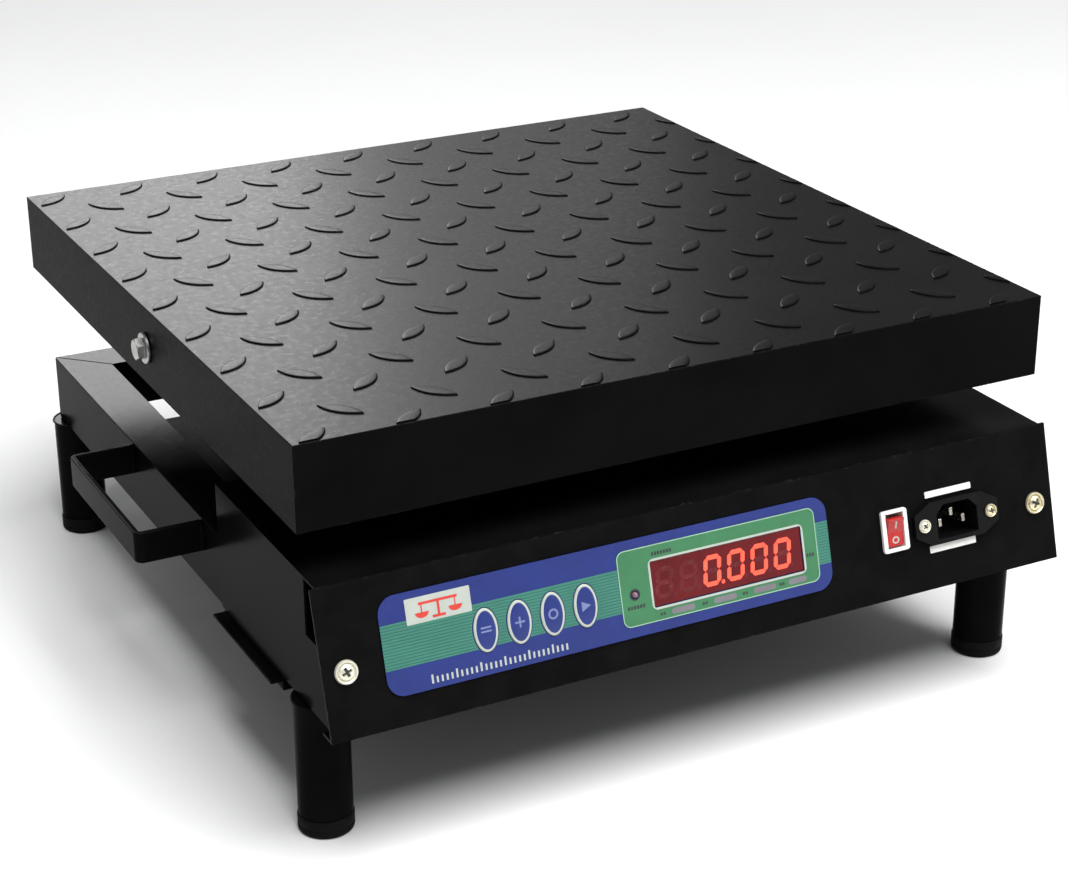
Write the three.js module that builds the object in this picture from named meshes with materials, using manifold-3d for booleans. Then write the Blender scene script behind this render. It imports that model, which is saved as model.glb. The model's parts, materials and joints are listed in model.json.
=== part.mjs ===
// Electronic platform weighing scale with a checkered-plate platter.
// Millimetres, +Z up. The origin is on the floor, under the middle of the outer box.
// The front, with the display and the mains inlet, faces -Y.

import * as THREE from 'three';
import { mergeVertices } from 'three/addons/utils/BufferGeometryUtils.js';
import Module from 'manifold-3d';

const wasm = await Module();
wasm.setup();

// ---------------------------------------------------------------- driving dimensions
const GAP = 0.3; // air between two pieces that touch or are welded
const SHEET = 1.2; // thin sheet steel of the electronics housing

const TOTAL_HEIGHT = 200.5;
const PLATTER = 400; // square platter, side length
const SKIRT = 42; // depth of the platter's folded rim
const PAN_PLATE = 3;
const PAN_RIM = 2.5;
const PLATTER_TRAVEL = 0.6; // how far full load bends the load cell

const BASE_HALF_WIDTH = 195;
const BASE_BACK = 189;
const BASE_FRONT = -199;
const BASE_TOP = 106.2;
const BASE_BOTTOM = 69.2;
const ANGLE_FLANGE = 26;
const ANGLE_THICK = 3;

const LEG = { x: 187, front: -186.4, back: 183 }; // the legs stand a little proud of the angles
const LEG_RADIUS = 13;
const LEG_WALL = 2;
const FOOT_RADIUS = 13.4;
const FOOT_HEIGHT = 9;
const FOOT_PLUG = 12; // length of the rubber plug inside the leg

const PANEL_HALF_WIDTH = 199.5;
const PANEL_TOP = { y: -210.6, z: 136 };
const PANEL_BOTTOM = { y: -229.6, z: 68.9 };
const PANEL_LIP = 10; // bottom edge folded back
const HOUSING_BOTTOM = PANEL_BOTTOM.z + SHEET + GAP;
const HOUSING_BACK = -85;
const HOUSING_HALF_WIDTH = BASE_HALF_WIDTH + GAP + SHEET;

const HANDLE = { length: 109, reach: 34.2, height: 16.4, bar: 3, bend: 4.5, centreY: -4, centreZ: 97 };

const LABEL = { left: 29.4, right: 264.5, top: 10, bottom: 56, corner: 8.5, thick: 0.5 };
const WINDOW = { left: 166.5, right: 248.7, top: 22.7, bottom: 44, thick: 1.8 };
const KEY = {
  first: 79.6, pitch: 17, middle: 35.4, width: 12.1, height: 20.4, travel: 0.8, back: -2, front: 1.5,
};
const KEY_COUNT = 4;
const LAMP = { across: 156.5, down: 36, radius: 1.5 };
const SWITCH = { across: 302.4, down: 35.6, width: 15, height: 21, depth: 16 };
const ROCKER_TILT = 11; // degrees, each way from level
const INLET = { across: 338.3, down: 36.5, screwHalfPitch: 20, depth: 19 };
const STRIP = { left: 322.2, right: 349.8, thick: 0.6 }; // white strips above and below the inlet
const STRIP_ROWS = [['top', 20.6, 23.7], ['bottom', 47.9, 51.5]];
const PANEL_SCREW = { inset: 11.2, down: 39 };

// Stack of the weighing mechanism, from the floor up
const CHANNEL_WIDTH = 50;
const BASE_CHANNEL_WIDTH = 158;
const CHANNEL_HEIGHT = 25;
const CHANNEL_THICK = 4;
const RAIL = 25; // square tube
const RAIL_WALL = 2;
const CELL = { length: 150, width: 38, height: 38, holeRadius: 13, holeOffset: 17, slot: 8 };
const BOLT_RADIUS = 4;
const BOLT_HEAD = { radius: 7.2, height: 5 };
const CELL_BOLTS = [44, 66]; // distances of the two bolts from the middle of the load cell
const STOP_X = 150;

const PAN_TOP_INSIDE = TOTAL_HEIGHT - PAN_PLATE;
const RAIL_TOP = PAN_TOP_INSIDE - GAP;
const RAIL_BOTTOM = RAIL_TOP - RAIL;
const BASE_CHANNEL_TOP = BASE_TOP - ANGLE_THICK - GAP;
const UPPER_SPACER = { thick: 9, length: 44 };
const UPPER_SPACER_BOTTOM = RAIL_BOTTOM - GAP - UPPER_SPACER.thick;
const CELL_TOP = UPPER_SPACER_BOTTOM - PLATTER_TRAVEL - GAP;
const CELL_BOTTOM = CELL_TOP - CELL.height;

const PAN_BOLT = {
  y: -3.5, z: TOTAL_HEIGHT - 22, radius: 3, head: 5.8, headHeight: 4, washer: 8, washerThick: 1.5,
};

// The box runs from the foot of the front panel to the back of the platter
const ORIGIN_Y = (PANEL_BOTTOM.y + PLATTER / 2) / 2;

// ---------------------------------------------------------------- finishes
function finish(color, roughness, metalness = 0) {
  return new THREE.MeshStandardMaterial({ color, roughness, metalness });
}

const looks = {
  blackPaint: () => finish(0x26262a, 0.42, 0.3),
  blackRubber: () => finish(0x141414, 0.85),
  zinc: () => finish(0xb4b4b0, 0.35, 0.9),
  brass: () => finish(0xc9a24a, 0.3, 0.9),
  aluminium: () => finish(0xb9bcc0, 0.4, 0.9),
  blueLabel: () => finish(0x2a3f9f, 0.4),
  redWindow: () => finish(0x4a0b10, 0.15),
  blackPlastic: () => finish(0x151517, 0.45),
  whitePlastic: () => finish(0xeeeeea, 0.4),
  redPlastic: () => finish(0xc8281e, 0.35),
  greenBoard: () => finish(0x1f6b3a, 0.6),
  greyPlastic: () => finish(0x6c7076, 0.5),
};

// ---------------------------------------------------------------- geometry helpers
function toSolid(geometry) {
  const bare = geometry.clone();
  bare.deleteAttribute('normal');
  bare.deleteAttribute('uv');
  const merged = mergeVertices(bare, 1e-4);
  return new wasm.Manifold(new wasm.Mesh({
    numProp: 3,
    vertProperties: new Float32Array(merged.attributes.position.array),
    triVerts: new Uint32Array(merged.index.array),
  }));
}

function toGeometry(solid) {
  const mesh = solid.getMesh();
  const geometry = new THREE.BufferGeometry();
  geometry.setAttribute('position', new THREE.BufferAttribute(mesh.vertProperties, 3));
  geometry.setIndex(new THREE.BufferAttribute(mesh.triVerts, 1));
  geometry.computeVertexNormals();
  return geometry;
}

function cut(geometry, tools) {
  const solid = tools.reduce((rest, tool) => rest.subtract(toSolid(tool)), toSolid(geometry));
  return toGeometry(solid);
}

function join(pieces) {
  const solid = pieces.slice(1).reduce((whole, piece) => whole.add(toSolid(piece)), toSolid(pieces[0]));
  return toGeometry(solid);
}

function block(x, y, z) {
  const geometry = new THREE.BoxGeometry(x[1] - x[0], y[1] - y[0], z[1] - z[0]);
  return geometry.translate((x[0] + x[1]) / 2, (y[0] + y[1]) / 2, (z[0] + z[1]) / 2);
}

// A round or many-sided bar standing on Z between two heights
function post(radius, low, high, sides = 24) {
  const geometry = new THREE.CylinderGeometry(radius, radius, high - low, sides);
  return geometry.rotateX(Math.PI / 2).translate(0, 0, (low + high) / 2);
}

// A turned piece: [radius, height] points, from the axis at the bottom round to the axis at the top
function turned(points, sides = 24) {
  const profile = points.map(([radius, height]) => new THREE.Vector2(radius, height));
  return new THREE.LatheGeometry(profile, sides).rotateX(Math.PI / 2);
}

function outline(points) {
  return new THREE.Shape(points.map(([a, b]) => new THREE.Vector2(a, b)));
}

function prism(shape, low, high, curveSegments = 6) {
  const settings = { depth: high - low, bevelEnabled: false, curveSegments };
  const geometry = new THREE.ExtrudeGeometry(shape, settings);
  return geometry.translate(0, 0, low);
}

// The outline is drawn in the Y-Z plane
function prismAlongX(shape, low, high) {
  const turn = new THREE.Matrix4().makeBasis(
    new THREE.Vector3(0, 1, 0), new THREE.Vector3(0, 0, 1), new THREE.Vector3(1, 0, 0));
  return prism(shape, low, high).applyMatrix4(turn);
}

// The outline is drawn in the X-Z plane
function prismAlongY(shape, low, high) {
  const turn = new THREE.Matrix4().makeBasis(
    new THREE.Vector3(1, 0, 0), new THREE.Vector3(0, 0, 1), new THREE.Vector3(0, -1, 0));
  return prism(shape, -high, -low).applyMatrix4(turn);
}

function roundedRectangle(left, right, bottom, top, radius) {
  const shape = new THREE.Shape();
  shape.moveTo(left + radius, bottom);
  shape.lineTo(right - radius, bottom);
  shape.absarc(right - radius, bottom + radius, radius, -Math.PI / 2, 0);
  shape.lineTo(right, top - radius);
  shape.absarc(right - radius, top - radius, radius, 0, Math.PI / 2);
  shape.lineTo(left + radius, top);
  shape.absarc(left + radius, top - radius, radius, Math.PI / 2, Math.PI);
  shape.lineTo(left, bottom + radius);
  shape.absarc(left + radius, bottom + radius, radius, Math.PI, Math.PI * 1.5);
  return shape;
}

function oval(width, height) {
  const shape = new THREE.Shape();
  shape.absellipse(0, 0, width / 2, height / 2, 0, Math.PI * 2);
  return shape;
}

// Everything past an upright plane through a point, the plane facing along angle
function beyond(x, y, angle) {
  const size = 600;
  return new THREE.BoxGeometry(size, size, size).translate(size / 2, 0, 0).rotateZ(angle).translate(x, y, 0);
}

// ---------------------------------------------------------------- scene graph helpers
const scale = new THREE.Group();
scale.position.y = -ORIGIN_Y;

// The sloping front: x runs to the right, y up the slope, z straight out of the panel,
// with the origin at the middle of the panel's top edge
const panelRise = PANEL_TOP.z - PANEL_BOTTOM.z;
const panelRun = PANEL_TOP.y - PANEL_BOTTOM.y;
const panelLean = Math.atan2(panelRun, panelRise);
const slope = new THREE.Group();
slope.position.set(0, PANEL_TOP.y, PANEL_TOP.z);
slope.rotation.x = Math.PI / 2 - panelLean;
slope.updateMatrix();
scale.add(slope);

function onSlope(geometry) {
  return geometry.applyMatrix4(slope.matrix);
}

function across(fromLeftEdge) {
  return fromLeftEdge - PANEL_HALF_WIDTH;
}

function add(name, geometry, look, parent = scale) {
  const mesh = new THREE.Mesh(geometry, looks[look]());
  mesh.name = name;
  parent.add(mesh);
  return mesh;
}

const SIDES = [['left', -1], ['right', 1]];

// ---------------------------------------------------------------- platter
function alongXAt(geometry, x, y, z, side) {
  return geometry.rotateY(side * Math.PI / 2).translate(x, y, z);
}

function buildPan() {
  const half = PLATTER / 2;
  const inner = half - PAN_RIM;
  const rimBottom = TOTAL_HEIGHT - SKIRT;
  const pan = block([-half, half], [-half, half], [rimBottom, TOTAL_HEIGHT]);
  const hollow = block([-inner, inner], [-inner, inner], [rimBottom - SKIRT, PAN_TOP_INSIDE]);
  const boltHole = alongXAt(post(PAN_BOLT.radius + GAP, -PLATTER, PLATTER), 0, PAN_BOLT.y, PAN_BOLT.z, 1);
  add('platter_pan', cut(pan, [hollow, boltHole]), 'blackPaint');
}

function buildRails() {
  const outerFace = PLATTER / 2 - PAN_RIM - GAP;
  const endClearance = 12;
  const halfLength = PLATTER / 2 - endClearance;
  for (const [name, side] of SIDES) {
    const x = side > 0 ? [outerFace - RAIL, outerFace] : [-outerFace, RAIL - outerFace];
    const tube = block(x, [-halfLength, halfLength], [RAIL_BOTTOM, RAIL_TOP]);
    const bore = block(
      [x[0] + RAIL_WALL, x[1] - RAIL_WALL],
      [-halfLength - 1, halfLength + 1],
      [RAIL_BOTTOM + RAIL_WALL, RAIL_TOP - RAIL_WALL]);
    const boltHole = alongXAt(
      post(PAN_BOLT.radius + GAP, 0, RAIL_WALL * 4), side * (outerFace - RAIL_WALL * 2),
      PAN_BOLT.y, PAN_BOLT.z, side);
    add(`platter_rail_${name}`, cut(tube, [bore, boltHole]), 'blackPaint');
  }
}

function buildPanBolts() {
  const { radius, head, headHeight, washer, washerThick } = PAN_BOLT;
  const shank = 11;
  for (const [name, side] of SIDES) {
    const skirtFace = side * PLATTER / 2;
    const ring = cut(post(washer, 0, washerThick), [post(radius + GAP, -1, washerThick + 1, 16)]);
    alongXAt(ring, skirtFace + side * GAP, PAN_BOLT.y, PAN_BOLT.z, side);
    add(`pan_washer_${name}`, ring, 'zinc');
    const headStart = washerThick + GAP * 2;
    const bolt = join([
      post(radius, -shank, headStart + headHeight / 2, 16),
      post(head, headStart, headStart + headHeight, 6),
    ]);
    alongXAt(bolt, skirtFace, PAN_BOLT.y, PAN_BOLT.z, side);
    add(`pan_bolt_${name}`, bolt, 'zinc');
  }
}

// A U of plate: the web is at the bottom when up is 1 and at the top when it is -1
function channel(width, halfLength, webOutside, up) {
  const half = width / 2;
  const inner = half - CHANNEL_THICK;
  const tip = webOutside + up * CHANNEL_HEIGHT;
  const webInside = webOutside + up * CHANNEL_THICK;
  const low = Math.min(tip, webOutside);
  const high = Math.max(tip, webOutside);
  const bar = block([-halfLength, halfLength], [-half, half], [low, high]);
  const trough = up > 0 ? [webInside, high + 1] : [low - 1, webInside];
  return cut(bar, [block([-halfLength - 1, halfLength + 1], [-inner, inner], trough)]);
}

function cellBoltHoles(end, low, high) {
  const radius = BOLT_RADIUS + GAP;
  return CELL_BOLTS.map((distance) => post(radius, low, high, 16).translate(end * distance, 0, 0));
}

function buildPlatterCross() {
  const halfLength = PLATTER / 2 - PAN_RIM - RAIL - GAP * 2;
  const bar = channel(CHANNEL_WIDTH, halfLength, RAIL_BOTTOM, 1);
  add('platter_cross_channel', cut(bar, cellBoltHoles(-1, RAIL_BOTTOM - 1, RAIL_TOP + 1)), 'blackPaint');
}

// ---------------------------------------------------------------- weighing mechanism
function buildLoadCell() {
  const half = CELL.length / 2;
  const y = [-CELL.width / 2, CELL.width / 2];
  const middle = (CELL_BOTTOM + CELL_TOP) / 2;
  const bores = [-1, 1].map((end) => {
    const bore = post(CELL.holeRadius, y[0] - 1, y[1] + 1, 28);
    return bore.rotateX(Math.PI / 2).translate(end * CELL.holeOffset, 0, middle);
  });
  const slot = block(
    [-CELL.holeOffset, CELL.holeOffset], [y[0] - 1, y[1] + 1],
    [middle - CELL.slot / 2, middle + CELL.slot / 2]);
  const holes = [
    ...cellBoltHoles(-1, middle, CELL_TOP + 1),
    ...cellBoltHoles(1, CELL_BOTTOM - 1, middle),
  ];
  const beam = block([-half, half], y, [CELL_BOTTOM, CELL_TOP]);
  add('load_cell', cut(beam, [...bores, slot, ...holes]), 'aluminium');
}

function spacer(end, low, high) {
  const outer = CELL.length / 2;
  const inner = outer - UPPER_SPACER.length;
  const x = end > 0 ? [inner, outer] : [-outer, -inner];
  const slab = block(x, [-CELL.width / 2, CELL.width / 2], [low, high]);
  return cut(slab, cellBoltHoles(end, low - 1, high + 1));
}

function buildSpacers() {
  add('upper_spacer', spacer(-1, UPPER_SPACER_BOTTOM, RAIL_BOTTOM - GAP), 'zinc');
  add('lower_spacer', spacer(1, BASE_CHANNEL_TOP + GAP, CELL_BOTTOM - GAP), 'zinc');
}

function buildCellBolts() {
  const grip = 13; // thread inside the load cell
  CELL_BOLTS.forEach((distance, index) => {
    const liveHead = RAIL_BOTTOM + CHANNEL_THICK + GAP;
    const live = join([
      post(BOLT_RADIUS, CELL_TOP - grip, liveHead + 1, 16),
      post(BOLT_HEAD.radius, liveHead, liveHead + BOLT_HEAD.height, 6),
    ]);
    add(`live_end_bolt_${index + 1}`, live.translate(-distance, 0, 0), 'zinc');
    const fixedHead = BASE_CHANNEL_TOP - CHANNEL_THICK - GAP;
    const fixed = join([
      post(BOLT_RADIUS, fixedHead - 1, CELL_BOTTOM + grip, 16),
      post(BOLT_HEAD.radius, fixedHead - BOLT_HEAD.height, fixedHead, 6),
    ]);
    add(`fixed_end_bolt_${index + 1}`, fixed.translate(distance, 0, 0), 'zinc');
  });
}

// Bolts that the platter comes down on before the load cell is overloaded
function buildStops() {
  const top = RAIL_BOTTOM - PLATTER_TRAVEL - GAP;
  const foot = BASE_CHANNEL_TOP + GAP;
  for (const [name, side] of SIDES) {
    const stop = join([
      post(BOLT_RADIUS, foot, top - 1, 16),
      post(BOLT_HEAD.radius, foot, foot + 6, 6),
      post(BOLT_HEAD.radius, top - BOLT_HEAD.height, top, 6),
    ]);
    add(`overload_stop_${name}`, stop.translate(side * STOP_X, 0, 0), 'zinc');
  }
}

// The signal cable from the fixed end of the load cell to the circuit board
function buildCellCable() {
  const start = CELL.length / 2 + GAP;
  const route = new THREE.CatmullRomCurve3([
    new THREE.Vector3(start, 0, 146),
    new THREE.Vector3(start + 10, -1, 145),
    new THREE.Vector3(92, -18, 139),
    new THREE.Vector3(86, -46, 128),
    new THREE.Vector3(68, -72, 123),
    new THREE.Vector3(60, HOUSING_BACK, 122),
    new THREE.Vector3(54, -110, 121),
    new THREE.Vector3(46, -150, 117),
    new THREE.Vector3(42, -182, 112),
    new THREE.Vector3(42, -197, 110),
  ]);
  const section = oval(5, 5);
  const tube = new THREE.ExtrudeGeometry(section, { steps: 30, curveSegments: 4, extrudePath: route });
  add('load_cell_cable', tube, 'blackPlastic');
}

// ---------------------------------------------------------------- base frame
function mitre(side, keepSide) {
  // 45 degree plane through the back corner
  const reach = GAP / 2;
  const x = side * BASE_HALF_WIDTH;
  const out = keepSide ? 1 : -1;
  const angle = Math.atan2(out, out * -side);
  return beyond(x - Math.cos(angle) * reach, BASE_BACK - Math.sin(angle) * reach, angle);
}

function buildSideAngles() {
  for (const [name, side] of SIDES) {
    const outer = side * BASE_HALF_WIDTH;
    const web = side * (BASE_HALF_WIDTH - ANGLE_THICK);
    const tip = side * (BASE_HALF_WIDTH - ANGLE_FLANGE);
    const section = outline([
      [outer, BASE_BOTTOM], [outer, BASE_TOP], [tip, BASE_TOP],
      [tip, BASE_TOP - ANGLE_THICK], [web, BASE_TOP - ANGLE_THICK], [web, BASE_BOTTOM],
    ]);
    const bar = prismAlongY(section, BASE_FRONT, BASE_BACK);
    add(`base_angle_${name}`, cut(bar, [mitre(side, true)]), 'blackPaint');
  }
}

function buildBackAngle() {
  const web = BASE_BACK - ANGLE_THICK;
  const tip = BASE_BACK - ANGLE_FLANGE;
  const section = outline([
    [BASE_BACK, BASE_BOTTOM], [BASE_BACK, BASE_TOP], [tip, BASE_TOP],
    [tip, BASE_TOP - ANGLE_THICK], [web, BASE_TOP - ANGLE_THICK], [web, BASE_BOTTOM],
  ]);
  const bar = prismAlongX(section, -BASE_HALF_WIDTH, BASE_HALF_WIDTH);
  add('base_angle_back', cut(bar, [mitre(-1, false), mitre(1, false)]), 'blackPaint');
}

function buildFrontBarAndChannel() {
  const half = BASE_HALF_WIDTH - ANGLE_THICK - GAP;
  const barDepth = 25;
  const barThick = 4;
  const bar = block(
    [-half, half], [BASE_FRONT, BASE_FRONT + barDepth], [BASE_BOTTOM, BASE_BOTTOM + barThick]);
  add('base_front_bar', bar, 'blackPaint');
  const holes = cellBoltHoles(1, BASE_CHANNEL_TOP - CHANNEL_HEIGHT, BASE_CHANNEL_TOP + 1);
  add('base_channel', cut(channel(BASE_CHANNEL_WIDTH, half, BASE_CHANNEL_TOP, -1), holes), 'blackPaint');
}

function buildLegs() {
  const rows = [['front', LEG.front], ['back', LEG.back]];
  const top = BASE_BOTTOM - GAP;
  const low = FOOT_HEIGHT + GAP;
  const bore = LEG_RADIUS - LEG_WALL;
  const plug = bore - GAP;
  const plugTop = FOOT_HEIGHT + FOOT_PLUG;
  const leg = turned([
    [0, top - LEG_WALL], [bore, top - LEG_WALL], [bore, low], [LEG_RADIUS, low], [LEG_RADIUS, top], [0, top],
  ]);
  const foot = turned([
    [0, 0], [FOOT_RADIUS - 1, 0], [FOOT_RADIUS, 1.5], [FOOT_RADIUS, FOOT_HEIGHT - 1],
    [FOOT_RADIUS - 0.5, FOOT_HEIGHT], [plug, FOOT_HEIGHT], [plug, plugTop - 1], [plug - 1, plugTop], [0, plugTop],
  ]);
  for (const [row, y] of rows) {
    for (const [name, side] of SIDES) {
      add(`leg_${row}_${name}`, leg.clone(), 'blackPaint').position.set(side * LEG.x, y, 0);
      add(`foot_${row}_${name}`, foot.clone(), 'blackRubber').position.set(side * LEG.x, y, 0);
    }
  }
}

function buildHandles() {
  const { length, reach, height, bar, bend, centreY, centreZ } = HANDLE;
  const half = length / 2;
  for (const [name, side] of SIDES) {
    const outer = roundedRectangle(-reach - bend * 2, reach, -half, half, bend);
    const inner = roundedRectangle(-reach - bend * 4, reach - bar, bar - half, half - bar, bend - bar);
    const loop = cut(prism(outer, 0, height), [
      prism(inner, -1, height + 1),
      block([-reach * 3, 0], [-length, length], [-1, height + 1]),
    ]);
    if (side < 0) loop.rotateZ(Math.PI);
    const wall = side * (BASE_HALF_WIDTH + GAP);
    add(`handle_${name}`, loop, 'blackPaint').position.set(wall, centreY, centreZ - height / 2);
  }
}

// ---------------------------------------------------------------- electronics housing
// Y of the panel's outer face at a height, moved back by a depth measured square to the panel
function panelFaceY(z, depth) {
  return PANEL_TOP.y - (PANEL_TOP.z - z) * Math.tan(panelLean) + depth / Math.cos(panelLean);
}

const CABLE_HOLE = { x: 60, z: 122, radius: 5 };

const EAR = { depth: 16, halfHeight: 10 }; // tabs that take the panel screws
const SCREW_HOLE = 2.4; // radius
const SIDE_FRONT = -196; // above the base angle the side walls stop here, short of the panel

function panelScrewHoles() {
  const out = PANEL_HALF_WIDTH - PANEL_SCREW.inset;
  return SIDES.map(([, hand]) =>
    post(SCREW_HOLE, -8, 8, 12).translate(hand * out, -PANEL_SCREW.down, 0));
}

function buildHousingShell() {
  const top = PANEL_TOP.z;
  const behindPanel = SHEET + GAP;
  const inset = HOUSING_HALF_WIDTH - SHEET;
  const beyondFront = PANEL_BOTTOM.y - 70;
  const side = outline([
    [panelFaceY(top, behindPanel), top], [panelFaceY(HOUSING_BOTTOM, behindPanel), HOUSING_BOTTOM],
    [HOUSING_BACK, HOUSING_BOTTOM], [HOUSING_BACK, top],
  ]);
  const shell = prismAlongX(side, -HOUSING_HALF_WIDTH, HOUSING_HALF_WIDTH);
  const hollow = block([-inset, inset], [beyondFront, HOUSING_BACK - SHEET], [0, top - SHEET]);
  const flangeGap = 4;
  const notchInner = BASE_HALF_WIDTH - ANGLE_FLANGE - flangeGap;
  const notchTop = BASE_TOP + 1;
  const notches = [[-inset, -notchInner], [notchInner, inset]].map((x) =>
    block(x, [HOUSING_BACK - 10, HOUSING_BACK + 10], [0, notchTop]));
  const cableHole = post(CABLE_HOLE.radius, -10, 10, 16).rotateX(Math.PI / 2)
    .translate(CABLE_HOLE.x, HOUSING_BACK, CABLE_HOLE.z);
  const lipDepth = 10;
  const lip = onSlope(block([-inset, inset], [-lipDepth, -SHEET / 2], [-behindPanel - SHEET, -behindPanel]));
  const earLow = -PANEL_SCREW.down - EAR.halfHeight;
  const earHigh = -PANEL_SCREW.down + EAR.halfHeight;
  const ears = SIDES.map(([, hand]) => {
    const ends = [hand * (inset + SHEET / 2), hand * (inset - EAR.depth)];
    return onSlope(block([Math.min(...ends), Math.max(...ends)], [earLow, earHigh],
      [-behindPanel - SHEET, -behindPanel]));
  });
  const frontSlots = SIDES.map(([, hand]) => {
    const ends = [hand * inset, hand * (inset + SHEET * 2)];
    return block([Math.min(...ends), Math.max(...ends)], [beyondFront, SIDE_FRONT], [notchTop, top - SHEET]);
  });
  const open = cut(shell, [hollow, ...notches, ...frontSlots, cableHole]);
  add('housing_shell', cut(join([open, lip, ...ears]), panelScrewHoles().map(onSlope)), 'blackPaint');
}

function panelOpenings() {
  const through = [-8, 8];
  const windowHole = block(
    [across(WINDOW.left) - GAP, across(WINDOW.right) + GAP],
    [-WINDOW.bottom - GAP, -WINDOW.top + GAP], through);
  const keyHoles = keyPlaces().map((x) =>
    prism(oval(KEY.width + GAP * 2, KEY.height + GAP * 2), ...through).translate(x, -KEY.middle, 0));
  const lampHole = post(LAMP.radius + GAP, ...through, 12).translate(across(LAMP.across), -LAMP.down, 0);
  return [windowHole, ...keyHoles, lampHole];
}

const SWITCH_HOLE = { halfWidth: 6.8, halfHeight: 9.8 };
const INLET_HOLE = { halfWidth: 14, halfHeight: 10.3 };
const INLET_SCREW_HOLE = 1.9; // radius

function inletScrewHoles() {
  return [-1, 1].map((end) => post(INLET_SCREW_HOLE, -8, 8, 12).translate(end * INLET.screwHalfPitch, 0, 0));
}

function buildFrontPanel() {
  const depthY = SHEET / Math.cos(panelLean);
  const section = outline([
    [PANEL_TOP.y, PANEL_TOP.z], [PANEL_BOTTOM.y, PANEL_BOTTOM.z],
    [PANEL_BOTTOM.y + PANEL_LIP, PANEL_BOTTOM.z], [PANEL_BOTTOM.y + PANEL_LIP, PANEL_BOTTOM.z + SHEET],
    [panelFaceY(PANEL_BOTTOM.z + SHEET, SHEET), PANEL_BOTTOM.z + SHEET], [PANEL_TOP.y + depthY, PANEL_TOP.z],
  ]);
  const sheet = prismAlongX(section, -PANEL_HALF_WIDTH, PANEL_HALF_WIDTH);
  const through = ({ halfWidth, halfHeight }) =>
    block([-halfWidth, halfWidth], [-halfHeight, halfHeight], [-8, 8]);
  const switchHole = through(SWITCH_HOLE).translate(across(SWITCH.across), -SWITCH.down, 0);
  const inletHoles = [through(INLET_HOLE), ...inletScrewHoles()].map((hole) =>
    hole.translate(across(INLET.across), -INLET.down, 0));
  const tools = [...panelOpenings(), switchHole, ...inletHoles, ...panelScrewHoles()].map(onSlope);
  add('front_panel', cut(sheet, tools), 'blackPaint');
}

function buildPanelScrews() {
  const head = 5.6;
  const screw = turned([
    [0, -9], [2.1, -9], [2.1, GAP], [head, GAP], [head, 1.1], [head - 1.4, 2.4], [0, 2.7],
  ], 20);
  for (const [name, hand] of SIDES) {
    const place = add(`panel_screw_${name}`, screw.clone(), 'brass', slope);
    place.position.set(hand * (PANEL_HALF_WIDTH - PANEL_SCREW.inset), -PANEL_SCREW.down, 0);
  }
}

function buildLabel() {
  const shape = roundedRectangle(
    across(LABEL.left), across(LABEL.right), -LABEL.bottom, -LABEL.top, LABEL.corner);
  add('panel_label', cut(prism(shape, GAP, GAP + LABEL.thick), panelOpenings()), 'blueLabel', slope);
}

function keyPlaces() {
  return Array.from({ length: KEY_COUNT }, (_, index) => across(KEY.first + index * KEY.pitch));
}

const BOARD = { left: 66, right: 262, top: 8, bottom: 58, thick: 1.6 };
const BOARD_DEPTH = 13; // from the panel's outer face to the board's front
const KEY_SWITCH_TOP = -8.5;
const KEY_SWITCH_HALF = 3;

function buildKeys() {
  const stemRadius = 2.5;
  keyPlaces().forEach((x, index) => {
    const key = join([
      prism(oval(KEY.width, KEY.height), KEY.back, KEY.front),
      post(stemRadius, KEY_SWITCH_TOP + KEY.travel + GAP, KEY.back + 1, 10),
    ]);
    add(`key_${index + 1}`, key, 'blueLabel', slope).position.set(x, -KEY.middle, 0);
  });
}

function buildBoard() {
  const board = block(
    [across(BOARD.left), across(BOARD.right)], [-BOARD.bottom, -BOARD.top],
    [-BOARD_DEPTH - BOARD.thick, -BOARD_DEPTH]);
  const half = KEY_SWITCH_HALF;
  const rows = [-KEY.middle - half, -KEY.middle + half];
  const keySwitches = keyPlaces().map((x) =>
    block([x - half, x + half], rows, [-BOARD_DEPTH - 1, KEY_SWITCH_TOP]));
  add('circuit_board', join([board, ...keySwitches]), 'greenBoard', slope);
}

function buildDisplay() {
  const x = [across(WINDOW.left), across(WINDOW.right)];
  const y = [-WINDOW.bottom, -WINDOW.top];
  add('display_window', block(x, y, [LABEL.thick - WINDOW.thick, LABEL.thick]), 'redWindow', slope);
  const moduleFront = LABEL.thick - WINDOW.thick - GAP;
  const margin = 2;
  const digits = block([x[0] + margin, x[1] - margin], [y[0] + margin / 2, y[1] - margin / 2],
    [GAP - BOARD_DEPTH, moduleFront]);
  add('display_module', digits, 'blackPlastic', slope);
  const { radius } = LAMP;
  const lamp = turned([[0, GAP - BOARD_DEPTH], [radius, GAP - BOARD_DEPTH], [radius, 1],
    [radius * 0.7, 2.1], [0, 2.5]], 16);
  add('indicator_lamp', lamp, 'redPlastic', slope).position.set(across(LAMP.across), -LAMP.down, 0);
}

// ---------------------------------------------------------------- power switch and inlet
const ROCKER = { halfWidth: 4.7, halfLength: 7.3, top: 2.6, valley: 1.5, pivotDepth: 2.5 };
const BEZEL_PROUD = 2.1;

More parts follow.
